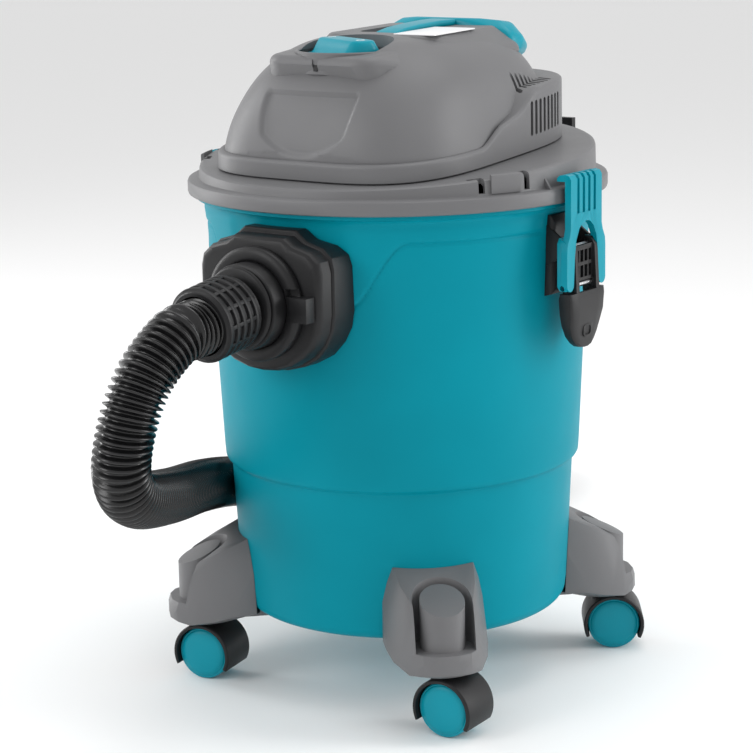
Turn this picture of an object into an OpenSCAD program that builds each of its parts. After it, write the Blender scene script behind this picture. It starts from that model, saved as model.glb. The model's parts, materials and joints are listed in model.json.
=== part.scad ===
/* [Tank] */
// How far the tank's underside stands above the feet's underside
tank_lift = 9; // [8:0.5:12]
// Height of the tank from its underside to its rim
tank_h = 312; // [290:1:370]
// Radius of the tank at its underside
tank_r_low = 123.4; // [118:0.2:126]
// Radius just under the ledge
tank_r_ledge = 128.9; // [127.4:0.1:130.4]
// How far the ledge steps out
ledge_step = 4.5; // [3:0.5:6]
// Height of the ledge above the tank's underside
ledge_h = 112; // [100:1:130]
// Radius of the tank near its top
tank_r_top = 142.3; // [140:0.1:143]
// Wall thickness of the tank
tank_wall = 2.8; // [2:0.1:3.4]

/* [Lid] */
// Radius of the lid's rim
rim_r = 155; // [153:0.5:160]
// Thickness of the lid's rim
rim_h = 10.5; // [8:0.5:12]
// Radius of the raised deck
deck_r = 146; // [144:0.5:148]
// Height of the deck's middle above the rim's top
deck_h = 16.6; // [15:0.2:20]
// Slope of the deck, low at the front
deck_tilt = 4.06; // [3:0.01:5]
// Wall thickness of the gray mouldings
shell_wall = 3; // [2.4:0.1:3.6]

/* [Head] */
// Half width of the motor cover
head_a = 104; // [98:1:108]
// Reach of the motor cover to the front
head_front = 124; // [118:1:126]
// Reach of the motor cover to the back
head_back = 112; // [106:1:116]
// Height of the motor cover above the rim's top
head_h = 110; // [108:1:124]
// Radius of the power knob
knob_r = 31; // [27:0.5:33]

/* [Hose] */
// Inner diameter of the hose and its tools
hose_bore = 35; // [32:1:36]
// Outer diameter of the hose
hose_d = 40; // [39:0.5:42]
// Height of the inlet's centre above the tank's underside
inlet_h = 252; // [240:1:258]
// Length of the hand grip
grip_l = 105; // [95:1:120]

/* [Castors] */
// Diameter of the castor wheels
wheel_d = 40; // [38:1:42]
// Width of one wheel
wheel_w = 13; // [11:0.5:14]
// Distance from the swivel axis to the wheel's axle
trail = 8; // [6:0.5:10]
// Radius of the swivel stem
stem_r = 4; // [3.5:0.1:4.5]
// Radius of the wheel's axle
axle_r = 2.5; // [2:0.1:3]
// Distance from the tank's axis to a swivel axis
swivel_r = 157; // [154:0.5:160]

/* [Latches] */
// Width of a latch
latch_w = 42; // [38:1:46]
// Overlap of the hook's lip over the rim
lip_over = 4.5; // [4:0.1:4.8]
// Clearance between the rim's top and the lip
lip_gap = 4.5; // [4.2:0.1:5]
// Radius of the latch pins
latch_pin_r = 2; // [1.5:0.1:2.4]

/* [Motor and filter] */
// Radius of the motor's field stack
stator_r = 42; // [38:1:46]
// Radius of the motor shaft
shaft_r = 4; // [3:0.5:5]
// Radius of the suction fan
fan_r = 46; // [42:1:48]
// Radius of the filter cage
cage_r = 48; // [44:1:52]
// Length of the filter cage below the lid
cage_l = 110; // [90:1:120]

/* [Hidden] */

// colours
teal = [0.0, 0.62, 0.70];
gray = [0.52, 0.52, 0.53];
black = [0.13, 0.13, 0.14];
steel = [0.72, 0.73, 0.75];
brass = [0.75, 0.60, 0.30];
white = [0.93, 0.93, 0.93];

gap = 0.3;              // clearance between pieces that only pass each other
fit = 0.05;             // radial clearance of a running fit
round_fn = 128;
hull_fn = 32;

// heights that follow from the castors and the tank
foot_low = wheel_d + 6;
tank_z = foot_low + tank_lift;
ledge_z = tank_z + ledge_h;
tank_top = tank_z + tank_h;
rim_z = tank_top + 0.5;
rim_top = rim_z + rim_h;
deck_z = rim_top + deck_h;
inlet_z = tank_z + inlet_h;
slope = tan(deck_tilt);
head_top = rim_top + head_h;

// radius of the tank's outside at a height
function tank_r(z) = z < ledge_z
    ? tank_r_low + (tank_r_ledge - tank_r_low) * (z - tank_z) / ledge_h
    : tank_r_ledge + ledge_step + (tank_r_top - tank_r_ledge - ledge_step)
      * (z - ledge_z) / (tank_h - ledge_h);

// direction at an angle from the front, turning towards the right side
module at_angle(a) { rotate([0, 0, a - 90]) children(); }

FOOT_ANGLES = [45, 135, 225, 315];
CASTOR_TURN = [3, 34, 20, 11];   // where each castor's wheel face looks, from the front

// ---------------------------------------------------------------- tank
edge_r = 9;
lip_r = 149;
module tank_profile(inset) {
    r0 = tank_r_low - inset;
    z0 = tank_z + inset;
    polygon(concat(
        [[0, z0], [r0 - edge_r, z0]],
        [for (a = [15:15:75]) [r0 - edge_r + edge_r * sin(a), z0 + edge_r - edge_r * cos(a)]],
        [[tank_r(z0 + edge_r) - inset, z0 + edge_r],
         [tank_r_ledge - inset, ledge_z],
         [tank_r_ledge + ledge_step - inset, ledge_z + 3],
         [tank_r_top - inset, tank_top - 8],
         [tank_r_top - inset, inset > 0 ? tank_top + 1 : tank_top - 6]],
        inset > 0 ? [] : [[lip_r, tank_top - 3], [lip_r, tank_top]],
        [[0, inset > 0 ? tank_top + 1 : tank_top]]));
}

mouth_r = 23;
module inlet_axis() { translate([0, 0, inlet_z]) rotate([90, 0, 0]) children(); }
module tank() {
    color(teal) difference() {
        rotate_extrude($fn = round_fn) tank_profile(0);
        rotate_extrude($fn = round_fn) tank_profile(tank_wall);
        inlet_axis() cylinder(r = mouth_r, h = 200, $fn = 64);
    }
}

// ---------------------------------------------------------------- inlet
housing_w = 108;
housing_up = 48;                    // from the inlet's centre to its top
housing_down = 49;                  // and to its bottom
housing_cut = 16;                   // reach of the cut upper corners
housing_cut_r = 10;
housing_side_r = 8;
housing_foot_r = 16;                // radius of the lower corners
housing_foot_x = 26;
housing_stand = 26;                 // from the tank's wall to its face
housing_root = 22;                  // how far behind the tank's wall it starts, before the wall is cut away
housing_face = tank_r_top + housing_stand;
seat = 1.5;                         // room for the gasket between the tank and the housing
cuff_r = hose_d / 2 + 10;
port_r = cuff_r - 3;
module housing_outline() {
    hull() for (s = [-1, 1]) {
        translate([s * (housing_w / 2 - housing_cut), inlet_z + housing_up - housing_cut])
            circle(r = housing_cut_r, $fn = hull_fn);
        for (z = [12, -14]) translate([s * (housing_w / 2 - housing_side_r), inlet_z + z])
            circle(r = housing_side_r, $fn = hull_fn);
        translate([s * housing_foot_x, inlet_z - housing_down + housing_foot_r])
            circle(r = housing_foot_r, $fn = hull_fn);
    }
}

module tank_outside(clear) {
    rotate_extrude($fn = round_fn) polygon([
        [0, tank_z - 1], [tank_r(tank_z) + clear, tank_z - 1], [tank_r_ledge + clear, ledge_z],
        [tank_r_ledge + ledge_step + clear, ledge_z + 3], [tank_r_top + clear, tank_top - 8],
        [tank_r_top + clear, tank_top + 30], [0, tank_top + 30]]);
}

module inlet_housing() {
    color(black) difference() {
        translate([0, -tank_r_top + housing_root, 0]) rotate([90, 0, 0])
            linear_extrude(housing_stand + housing_root) housing_outline();
        tank_outside(seat);
        inlet_axis() cylinder(r = port_r, h = 200, $fn = 64);
    }
}

// flat ring between the tank and the housing
gasket_w = 11;
module inlet_gasket() {
    color(black) intersection() {
        difference() {
            tank_outside(seat);
            tank_outside(0);
            inlet_axis() cylinder(r = port_r, h = 200, $fn = 64);
        }
        inlet_axis() cylinder(r = port_r + gasket_w, h = 200, $fn = 64);
    }
}

// tube and nut inside the tank, with a hood that turns the air down
elbow_r = mouth_r - gap;
elbow_wall = 2.5;
elbow_l = 30;
nut_l = 18;
nut_w = 6;
hood_wall = 3;
module inlet_elbow() {
    color(black) {
        translate([0, -tank_r_top + elbow_l, inlet_z]) rotate([90, 0, 0]) difference() {
            union() {
                cylinder(r = elbow_r, h = elbow_l, $fn = 64);
                cylinder(r = elbow_r + nut_w, h = nut_l, $fn = 64);
            }
            translate([0, 0, -1]) cylinder(r = elbow_r - elbow_wall, h = elbow_l + 10, $fn = 64);
        }
        translate([0, -tank_r_top + elbow_l, inlet_z]) difference() {
            intersection() {
                sphere(r = elbow_r + nut_w, $fn = 64);
                translate([-50, 0, -50]) cube([100, 100, 100]);
            }
            sphere(r = elbow_r + nut_w - hood_wall, $fn = 64);
            translate([-50, -1, -80]) cube([100, 100, 70]);
        }
    }
}

screw_r = 2;
screw_head_r = 4;
screw_head_h = 3;
HOUSING_SCREWS = [[-34, 30], [34, 30], [-34, -30], [34, -30]];
module inlet_screws() {
    color(steel) for (p = HOUSING_SCREWS)
        translate([p[0], -sqrt(pow(tank_r(inlet_z + p[1]), 2) - p[0] * p[0]) + 8, inlet_z + p[1]])
            rotate([-90, 0, 0]) cylinder(r = screw_head_r, h = screw_head_h, $fn = 24);
}

// ---------------------------------------------------------------- hose end at the inlet
collar_y = -housing_face;
collar_in = cuff_r + 0.6;
collar_r = cuff_r + 10;
collar_h = 8;
lug = [12, 18, 10];
module inlet_collar() {
    color(black) translate([0, collar_y, inlet_z]) rotate([90, 0, 0]) difference() {
        union() {
            cylinder(r = collar_r, h = collar_h, $fn = 96);
            for (a = [0:30:330]) rotate([0, 0, a])
                translate([collar_r - 2, -3, 0]) cube([4.5, 6, collar_h - 1]);
            translate([collar_r - 4, -lug[1] / 2, 0]) cube(lug);
        }
        translate([0, 0, -1]) cylinder(r = collar_in, h = collar_h + 4, $fn = 96);
    }
}

// the cuff plugs into the port; the sleeve leaves it and droops a little
droop = atan(0.14);    // the hose's first points lie on this slope
cuff_l = 24;
cuff_band = 2;
module hose_cuff() {
    color(black) translate([0, collar_y, inlet_z]) rotate([90, 0, 0]) difference() {
        union() {
            translate([0, 0, -cuff_l]) cylinder(r = port_r - gap, h = cuff_l + 1, $fn = 96);
            cylinder(r = cuff_r, h = cuff_l, $fn = 96);
            translate([0, 0, 9]) cylinder(r = cuff_r + cuff_band, h = 4, $fn = 96);
        }
        translate([0, 0, -cuff_l - 6]) cylinder(r = hose_bore / 2, h = 3 * cuff_l, $fn = 96);
    }
}

sleeve_r = hose_d / 2 + 4.5;
sleeve_l = 40;
sleeve_low = 3.6;      // keeps its tilted end clear of the cuff
sleeve_y = collar_y - cuff_l;
module hose_sleeve() {
    color(black) translate([0, sleeve_y, inlet_z]) rotate([90 + droop, 0, 0]) difference() {
        union() {
            translate([0, 0, sleeve_low]) cylinder(r = sleeve_r, h = sleeve_l - sleeve_low, $fn = 96);
            for (n = [0:4]) translate([0, 0, 8 + n * 7]) cylinder(r = sleeve_r + 1.5, h = 3, $fn = 96);
        }
        translate([0, 0, -5]) cylinder(r = hose_d / 2 + 1, h = 2 * sleeve_l, $fn = 96);
    }
}

// ---------------------------------------------------------------- hose route, hand-chosen points
HOSE_ROUTE = [
    [0, -200, 306], [0, -240, 300.5], [0, -258, 298], [-4, -284, 276], [-9, -298, 244],
    [-17, -296, 210], [-31, -268, 186], [-65, -196, 166], [-111, -106, 146], [-156, -15, 122],
    [-190, 85, 94], [-194, 185, 58], [-172, 262, 34], [-151, 332, 24], [-154, 402, 24],
    [-166, 452, 24], [-187, 485, 24], [-221, 506, 24], [-260, 509, 24], [-293, 496, 24],
    [-315, 476, 24], [-327, 460, 24], [-339, 444, 24]];

// one point of the smooth curve through the route, between points i and i + 1
function curve_point(p, i, t) = let (n = len(p) - 1,
        a = p[max(i - 1, 0)], b = p[i], c = p[min(i + 1, n)], d = p[min(i + 2, n)])
    0.5 * (2 * b + (c - a) * t + (2 * a - 5 * b + 4 * c - d) * t * t
           + (3 * b - a - 3 * c + d) * t * t * t);
function unit(v) = v / norm(v);
HOSE_STEPS = 4;
HOSE_POINTS = concat(
    [for (i = [0:len(HOSE_ROUTE) - 2], k = [0:HOSE_STEPS - 1]) curve_point(HOSE_ROUTE, i, k / HOSE_STEPS)],
    [HOSE_ROUTE[len(HOSE_ROUTE) - 1]]);
function heading(p, i) = unit(p[min(i + 1, len(p) - 1)] - p[max(i - 1, 0)]);
// a frame that only turns as far as the heading does
function carried(p, i, side) = let (h = heading(p, i)) unit(side - h * (side * h));
function sides_from(p, i, side) = i >= len(p) ? []
    : let (s = carried(p, i, side)) concat([s], sides_from(p, i + 1, s));
module swept(p, r, n) {
    side = sides_from(p, 0, [1, 0, 0]);
    ring = [for (i = [0:len(p) - 1], k = [0:n - 1])
        p[i] + r * cos(360 * k / n) * side[i] + r * sin(360 * k / n) * cross(heading(p, i), side[i])];
    wall = [for (i = [0:len(p) - 2], k = [0:n - 1])
        [i * n + k, (i + 1) * n + k, (i + 1) * n + (k + 1) % n, i * n + (k + 1) % n]];
    first = [for (k = [0:n - 1]) k];
    last = [for (k = [n - 1:-1:0]) (len(p) - 1) * n + k];
    polyhedron(points = ring, faces = concat([first], wall, [last]));
}

module hose() { color(black) swept(HOSE_POINTS, hose_d / 2, 12); }

// ---------------------------------------------------------------- hand grip and air regulator
grip_end = HOSE_ROUTE[len(HOSE_ROUTE) - 1];
grip_dir = grip_end - HOSE_ROUTE[len(HOSE_ROUTE) - 2];
grip_turn = atan2(grip_dir[1], grip_dir[0]);
grip_r = hose_d / 2 + 1;
spigot_r = hose_bore / 2 + 1;
spigot_l = 40;
grip_bore = hose_bore / 2 - 1.5;
ring_r = grip_r + 3;
ring_l = 24;
ring_x = grip_l - ring_l - 10;
air_port = [10, 9];    // width and length of the air hole
rib = [2, 3];
side_gap = 0.5;        // beside the turning ring
module along_grip() {
    translate(grip_end) rotate([0, 0, grip_turn]) translate([fit, 0, 0]) rotate([0, 90, 0]) children();
}
module hand_grip() {
    color(black) along_grip() difference() {
        union() {
            cylinder(r = grip_r, h = ring_x - side_gap, $fn = 96);
            cylinder(r = spigot_r, h = grip_l + spigot_l - 1, $fn = 96);
            translate([0, 0, ring_x + ring_l + side_gap])
                cylinder(r = grip_r, h = grip_l - ring_x - ring_l - side_gap, $fn = 96);
        }
        translate([0, 0, -1]) cylinder(r = grip_bore, h = grip_l + spigot_l + 2, $fn = 96);
        translate([-spigot_r - 1, -air_port[0] / 2, ring_x + 8]) cube([spigot_r, air_port[0], air_port[1]]);
    }
}
module air_regulator() {
    color(black) along_grip() translate([0, 0, ring_x]) difference() {
        union() {
            cylinder(r = ring_r - 1.5, h = ring_l, $fn = 96);
            for (a = [0:24:336]) rotate([0, 0, a + 12])
                translate([ring_r - 2.5, -rib[1] / 2, 2]) cube([rib[0], rib[1], ring_l - 4]);
        }
        translate([0, 0, -1]) cylinder(r = spigot_r + fit, h = ring_l + 2, $fn = 96);
        rotate([0, 0, 60]) translate([-ring_r, -air_port[0] / 2, 8]) cube([ring_r, air_port[0], air_port[1]]);
    }
}

// ---------------------------------------------------------------- feet and castors
foot_up = 60;                  // from the tank's underside to the foot's top
foot_top = tank_z + foot_up;
foot_in = 100;                 // where the foot starts, before the tank's outline is cut away
foot_in_l = 24;
foot_w = 76;
skirt_r = 30;
brow_r = 20;
boss_r = 16;
slot_gap = 5;                  // width of the slot round the boss
slot_z = tank_z + 6;
slant = 14;                    // of the boss's top
socket_h = 33;
tongue = [40, 52];             // the part under the tank
tongue_in = 86;
foot_screw_x = 98;
foot_screw_y = 15;
module foot_body() {
    hull() {
        translate([foot_in, -foot_w / 2, foot_low + 8]) cube([foot_in_l, foot_w, foot_top - foot_low - 8]);
        translate([foot_in + 4, -foot_w / 2 + 4, foot_low + 4]) cube([foot_in_l - 4, foot_w - 8, 6]);
        translate([swivel_r - 12, 0, foot_low]) cylinder(r = skirt_r, h = 12, $fn = hull_fn);
        translate([swivel_r - 10, 0, foot_top - 28]) cylinder(r = brow_r, h = 4, $fn = hull_fn);
    }
}
module foot_slot() {
    translate([swivel_r, 0, slot_z]) cylinder(r = boss_r + slot_gap, h = 80, $fn = 48);
    translate([swivel_r, -boss_r - slot_gap, slot_z]) cube([boss_r + 4, 2 * (boss_r + slot_gap), 80]);
}
module foot_boss() {
    intersection() {
        translate([swivel_r, 0, foot_low + 1]) cylinder(r = boss_r, h = tank_z, $fn = 64);
        translate([0, 0, foot_low - 2]) rotate([0, slant, 0])
            translate([foot_in, -30, -60]) cube([100, 60, 135]);
    }
}
module foot(a) {
    color(gray) at_angle(a) difference() {
        union() {
            difference() {
                foot_body();
                foot_slot();
            }
            foot_boss();
            translate([tongue_in, -tongue[1] / 2, foot_low + 4])
                cube([tongue[0], tongue[1], tank_lift - 4.5]);
        }
        tank_outside(gap);
        translate([swivel_r, 0, foot_low - 1]) cylinder(r = stem_r + fit, h = socket_h + 1, $fn = 48);
        for (s = [-1, 1]) translate([foot_screw_x, s * foot_screw_y, foot_low])
            cylinder(r = screw_r + gap, h = 20, $fn = 24);
    }
}
module foot_screws() {
    color(steel) for (a = FOOT_ANGLES, s = [-1, 1]) at_angle(a)
        translate([foot_screw_x, s * foot_screw_y, foot_low + 1.5]) {
            cylinder(r = screw_head_r - 0.2, h = 2.4, $fn = 24);
            cylinder(r = screw_r, h = 7, $fn = 24);
        }
}

stem_low = wheel_d + 1.2;
stem_in = 28;           // how far the stem goes up into the foot
hood_wall_r = 3.4;      // from the wheel's tread to the hood's outside
module castor_place(k) {
    at_angle(FOOT_ANGLES[k]) translate([swivel_r, 0, 0])
        rotate([0, 0, CASTOR_TURN[k] - FOOT_ANGLES[k]]) children();
}
// wheel face looks along +X here, and the wheel trails towards +Y
module castor_stem(k) {
    color(steel) castor_place(k) union() {
        translate([0, 0, stem_low]) cylinder(r = stem_r, h = foot_low + stem_in - stem_low, $fn = 48);
        translate([0, 0, wheel_d + hood_wall_r]) cylinder(r = stem_r + 3, h = 2, $fn = 48);
    }
}
hood_w = 2 * wheel_w + 9;
hood_r = wheel_d / 2 + hood_wall_r;
web = 2.2;              // half the thickness of the web between the wheels
wheel_in = web + 0.4;   // inner face of each wheel
neck_r = 9;
module castor_hood(k) {
    color(black) castor_place(k) difference() {
        union() {
            translate([-hood_w / 2, trail, wheel_d / 2]) rotate([0, 90, 0])
                cylinder(r = hood_r, h = hood_w, $fn = 64);
            translate([0, 0, wheel_d / 2 + 6]) cylinder(r = neck_r, h = wheel_d / 2 - 3, $fn = 48);
        }
        for (s = [-1, 1])
            translate([s * (web + 50) - 50, trail, wheel_d / 2]) rotate([0, 90, 0])
                cylinder(r = wheel_d / 2 + 0.6, h = 100, $fn = 64);
        translate([-50, trail - 50, -10]) cube([100, 100, wheel_d / 2 - 2]);
        translate([-50, trail - 50, wheel_d / 2 - 12]) rotate([20, 0, 0])
            translate([0, 0, -40]) cube([100, 60, 46]);
        translate([0, 0, stem_low]) cylinder(r = stem_r, h = 40, $fn = 48);
        translate([-50, trail, wheel_d / 2]) rotate([0, 90, 0]) cylinder(r = axle_r + fit, h = 100, $fn = 48);
    }
}
module castor_wheels(k) {
    color(teal) castor_place(k) translate([0, trail, wheel_d / 2]) rotate([0, 90, 0]) {
        for (s = [-1, 1]) translate([0, 0, s * (wheel_in + wheel_w / 2)]) union() {
            cylinder(r = wheel_d / 2, h = wheel_w - 2, center = true, $fn = 64);
            cylinder(r = wheel_d / 2 - 1.5, h = wheel_w, center = true, $fn = 64);
        }
        cylinder(r = axle_r, h = 2 * wheel_in + 0.8, center = true, $fn = 48);
    }
}

// ---------------------------------------------------------------- latches
// in a frame where X points out of the tank's right side
pivot_x = rim_r + 0.5;
pivot_z = rim_z - 32;
crank = 27;             // from the lever's pivot down to the hook's pin
hook_x = pivot_x + 2;
hook_z = pivot_z - crank;
leg_t = 5;
leg_y = latch_w / 2;
cheek_y = leg_y - leg_t - 0.5;
cheek_t = 4;
ear_y = cheek_y - cheek_t - 0.5;
ear_t = 4;
ear_r = 5.5;
lever_r = 6;
hook_face = rim_r + 2;
hook_t = 5;
lip_low = rim_top + lip_gap;
lip_t = 4.5;
module side(s) { mirror([s < 0 ? 1 : 0, 0, 0]) children(); }

module latch_bracket(s) {
    base_x = tank_r(pivot_z + 14) + 0.2;
    plate_t = 2.6;
    color(black) side(s) difference() {
        union() {
            intersection() {
                translate([base_x - 12, -leg_y, pivot_z - 66]) cube([15, latch_w, 84]);
                difference() {
                    tank_outside(plate_t);
                    tank_outside(0);
                }
            }
            for (t = [-1, 1]) hull() {
                translate([pivot_x, t * (ear_y - ear_t / 2), pivot_z]) rotate([90, 0, 0])
                    cylinder(r = ear_r, h = ear_t, center = true, $fn = hull_fn);
                translate([base_x - 4, t * (ear_y - ear_t / 2) - ear_t / 2, pivot_z - 10])
                    cube([4, ear_t, 20]);
            }
        }
        tank_outside(0);
        translate([pivot_x, 0, pivot_z]) rotate([90, 0, 0])
            cylinder(r = latch_pin_r, h = 60, center = true, $fn = 48);
    }
}
module latch_pin(s) {
    color(steel) side(s) translate([pivot_x, 0, pivot_z]) rotate([90, 0, 0])
        cylinder(r = latch_pin_r, h = 2 * cheek_y, center = true, $fn = 48);
}
module hook_pin(s) {
    color(steel) side(s) translate([hook_x, 0, hook_z]) rotate([90, 0, 0])
        cylinder(r = latch_pin_r, h = 2 * (leg_y - 1), center = true, $fn = 48);
}
tab_low = hook_z - 45;
module latch_lever(s) {
    color(black) side(s) difference() {
        union() {
            for (t = [-1, 1]) hull() {
                translate([pivot_x, t * (cheek_y - cheek_t / 2), pivot_z]) rotate([90, 0, 0])
                    cylinder(r = lever_r, h = cheek_t, center = true, $fn = hull_fn);
                translate([hook_x, t * (cheek_y - cheek_t / 2), hook_z - 6]) rotate([90, 0, 0])
                    cylinder(r = lever_r, h = cheek_t, center = true, $fn = hull_fn);
            }
            translate([hook_x + 1, -cheek_y, hook_z - 16]) cube([5, 2 * cheek_y, 10]);
            hull() {
                translate([hook_x - 3, 1 - leg_y, hook_z - 14]) cube([9, latch_w - 2, 4]);
                translate([hook_x - 2, 0, tab_low + 12]) rotate([0, 90, 0])
                    cylinder(r = 14, h = 6, $fn = hull_fn);
            }
        }
        translate([pivot_x, 0, pivot_z]) rotate([90, 0, 0])
            cylinder(r = latch_pin_r + fit, h = 60, center = true, $fn = 48);
        translate([hook_x, 0, hook_z]) rotate([90, 0, 0])
            cylinder(r = latch_pin_r, h = 60, center = true, $fn = 48);
    }
}
arch_z = pivot_z + 12;
module latch_hook(s) {
    color(teal) side(s) difference() {
        union() {
            for (t = [-1, 1]) hull() {
                translate([hook_x, t * (leg_y - leg_t / 2), hook_z]) rotate([90, 0, 0])
                    cylinder(r = 5, h = leg_t, center = true, $fn = hull_fn);
                translate([hook_face - 4, t * (leg_y - leg_t / 2) - leg_t / 2, arch_z])
                    cube([hook_t + 4, leg_t, 4]);
            }
            translate([hook_face, -leg_y, arch_z]) cube([hook_t, latch_w, lip_low + lip_t - arch_z]);
            translate([rim_r - lip_over, -leg_y, lip_low])
                cube([hook_face - rim_r + lip_over + 1, latch_w, lip_t]);
        }
        translate([hook_face - 10, 0, arch_z - 2]) rotate([0, 90, 0]) cylinder(r = cheek_y, h = 30, $fn = 48);
        translate([hook_x, 0, hook_z]) rotate([90, 0, 0])
            cylinder(r = latch_pin_r + fit, h = 60, center = true, $fn = 48);
        for (n = [-1.5:1:1.5]) translate([hook_face + hook_t - 1.2, n * 8 - 1.2, arch_z + 20])
            cube([3, 2.4, 60]);
    }
}

// ---------------------------------------------------------------- lid
spigot_out = tank_r_top - tank_wall - 0.8;
deck_hole = 62;
module sloped_below(z) {
    // everything under the deck's plane, moved up or down by z
    rotate([deck_tilt, 0, 0]) translate([-250, -250, -500]) translate([0, 0, (z) * cos(deck_tilt)])
        cube([500, 500, 500]);
}
module lid() {
    color(gray) difference() {
        union() {
            intersection() {
                difference() {
                    translate([0, 0, rim_z]) cylinder(r = deck_r, h = 60, $fn = round_fn);
                    translate([0, 0, rim_z - 1]) cylinder(r = deck_r - shell_wall, h = 70, $fn = round_fn);
                }
                sloped_below(deck_z);
            }
            translate([0, 0, rim_z]) difference() {
                cylinder(r = rim_r, h = rim_h, $fn = round_fn);
                translate([0, 0, -1]) cylinder(r = deck_r - shell_wall, h = rim_h + 2, $fn = round_fn);
            }
            // the sloping deck itself
            intersection() {
                translate([0, 0, rim_z]) cylinder(r = deck_r - 1, h = 60, $fn = round_fn);
                difference() {
                    sloped_below(deck_z);
                    sloped_below(deck_z - shell_wall);
                }
            }
            // floor that closes the tank, with its spigot
            translate([0, 0, rim_z - 14]) cylinder(r = spigot_out, h = 3, $fn = round_fn);
            translate([0, 0, rim_z - 14]) difference() {
                cylinder(r = spigot_out, h = 17, $fn = round_fn);
                translate([0, 0, -1]) cylinder(r = spigot_out - shell_wall, h = 20, $fn = round_fn);
            }
            translate([0, 0, rim_z]) difference() {
                cylinder(r = deck_r, h = 3, $fn = round_fn);
                translate([0, 0, -1]) cylinder(r = spigot_out - shell_wall, h = 10, $fn = round_fn);
            }
        }
        translate([0, 0, rim_z - 20]) cylinder(r = fan_inlet_r, h = 20, $fn = 96);
        translate([0, 0, rim_z - 2]) cylinder(r = deck_hole, h = 60, $fn = 96);
    }
}
module lid_gasket() {
    color(black) translate([0, 0, tank_top]) difference() {
        cylinder(r = lip_r - 1, h = rim_z - tank_top, $fn = round_fn);
        translate([0, 0, -1]) cylinder(r = spigot_out + 0.1, h = 5, $fn = round_fn);
    }
}

// ---------------------------------------------------------------- head cover
// one closed ring of the cover's outside: half width, front, back and height
SECTION_N = 48;
function power(v, e) = sign(v) * pow(abs(v), e);
function section(a, front, back, z, tilt, e) = [for (k = [0:SECTION_N - 1])
    let (t = 360 * k / SECTION_N, y = (back - front) / 2 + (back + front) / 2 * power(sin(t), 2 / e))
    [a * power(cos(t), 2 / e), y, z + tilt * y]];
module lofted(rings) {
    n = SECTION_N;
    m = len(rings);
    polyhedron(
        points = [for (r = rings, p = r) p],
        faces = concat([[for (k = [0:n - 1]) k]],
            [for (i = [0:m - 2], k = [0:n - 1])
                [i * n + k, (i + 1) * n + k, (i + 1) * n + (k + 1) % n, i * n + (k + 1) % n]],
            [[for (k = [n - 1:-1:0]) (m - 1) * n + k]]));
}
// share of the width, front reach, back reach, share of the height, exponent
COVER = [
    [1.00, 1.00, 1.00, 0.00, 3.6], [1.00, 1.00, 1.00, 0.14, 3.6], [0.98, 0.98, 0.95, 0.20, 3.4],
    [0.94, 0.93, 0.88, 0.38, 3.2], [0.88, 0.85, 0.82, 0.54, 3.0], [0.79, 0.76, 0.76, 0.70, 3.0],
    [0.67, 0.65, 0.70, 0.86, 3.0], [0.58, 0.57, 0.62, 0.94, 3.0]];
bar_over = 8;           // how far the carry bar's top stands above the cover
cover_h = head_top - bar_over - deck_z;
module cover_shape(wall, low) {
    lofted([for (c = COVER)
        section(c[0] * head_a - wall, c[1] * head_front - wall, c[2] * head_back - wall,
                deck_z + c[3] * (cover_h - wall) + (c[3] == 0 ? low : 0), slope * (1 - c[3]), c[4])]);
}
vent_size = [30, 3, 26];
vent_start = 125;       // angle of the first slot from the front
vent_step = 4.5;
module vent(a) {
    at_angle(a) translate([88, -vent_size[1] / 2, deck_z + 18]) cube(vent_size);
}
knob_y = -60;
knob_z = deck_z + 0.94 * cover_h - 4;
knob_h = 9;
well_r = knob_r + 3;
well_h = 10;
knob_stem_r = 6;
stem_hole_r = knob_stem_r + 2;
// hollow under the carry bar for the fingers, or the walls around it
pocket = [-30, -8, 45, 70];    // its corner in plan, its width and its length
pocket_z = head_top - 34;
module finger_pocket(wall) {
    translate([pocket[0] - wall, pocket[1] - wall, pocket_z - wall])
        cube([pocket[2] + 2 * wall, pocket[3] + 2 * wall, 60]);
}
module head_cover() {
    color(gray) difference() {
        cover_shape(0, gap);
        difference() {
            cover_shape(shell_wall, -1);
            translate([0, knob_y, knob_z - well_h - shell_wall]) cylinder(r = well_r + 2, h = 60, $fn = 64);
            finger_pocket(shell_wall);
        }
        finger_pocket(0);
        translate([0, knob_y, knob_z - well_h]) cylinder(r = well_r, h = 60, $fn = 64);
        translate([0, knob_y, knob_z - 30]) cylinder(r = stem_hole_r, h = 60, $fn = 48);
        for (s = [-1, 1], n = [0:7]) vent(s * (vent_start + n * vent_step));
        handle_shape();
        translate([0, 0, gland_z]) rotate([-90, 0, 0]) cylinder(r = gland_flange_r + 0.2, h = 200, $fn = 48);
    }
}

// ---------------------------------------------------------------- handle
handle_w = 22;
bar_h = 7;
bar_step = 6;
bar_start = knob_y + well_r + 4;
bar_level = bar_start + 20;
bar_end = 70;
block_w = 84;
module bar_end_piece(y, z) { translate([-handle_w / 2, y, z]) cube([handle_w, bar_step, bar_h]); }
module handle_shape() {
    union() {
        // carry bar along the middle
        hull() {
            translate([-handle_w / 2, bar_start, knob_z - 1]) cube([handle_w, bar_step, bar_h - 1]);
            bar_end_piece(bar_level, head_top - 9);
        }
        hull() {
            bar_end_piece(bar_level, head_top - 9);
            bar_end_piece(bar_end, head_top - 8);
        }
        // wide rear block
        hull() {
            bar_end_piece(bar_end, head_top - 8);
            translate([-block_w / 2, bar_end + 6, head_top - 18]) cube([block_w, 18, 8]);
            translate([-block_w / 2 + 2, bar_end + 22, head_top - 46]) cube([block_w - 4, 4, 10]);
        }
    }
}
module handle() { color(teal) handle_shape(); }
label = [34, 56, 0.8];
module label_plate() {
    color(white) translate([18, -14, knob_z + 4.3]) cube(label);
}

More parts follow.
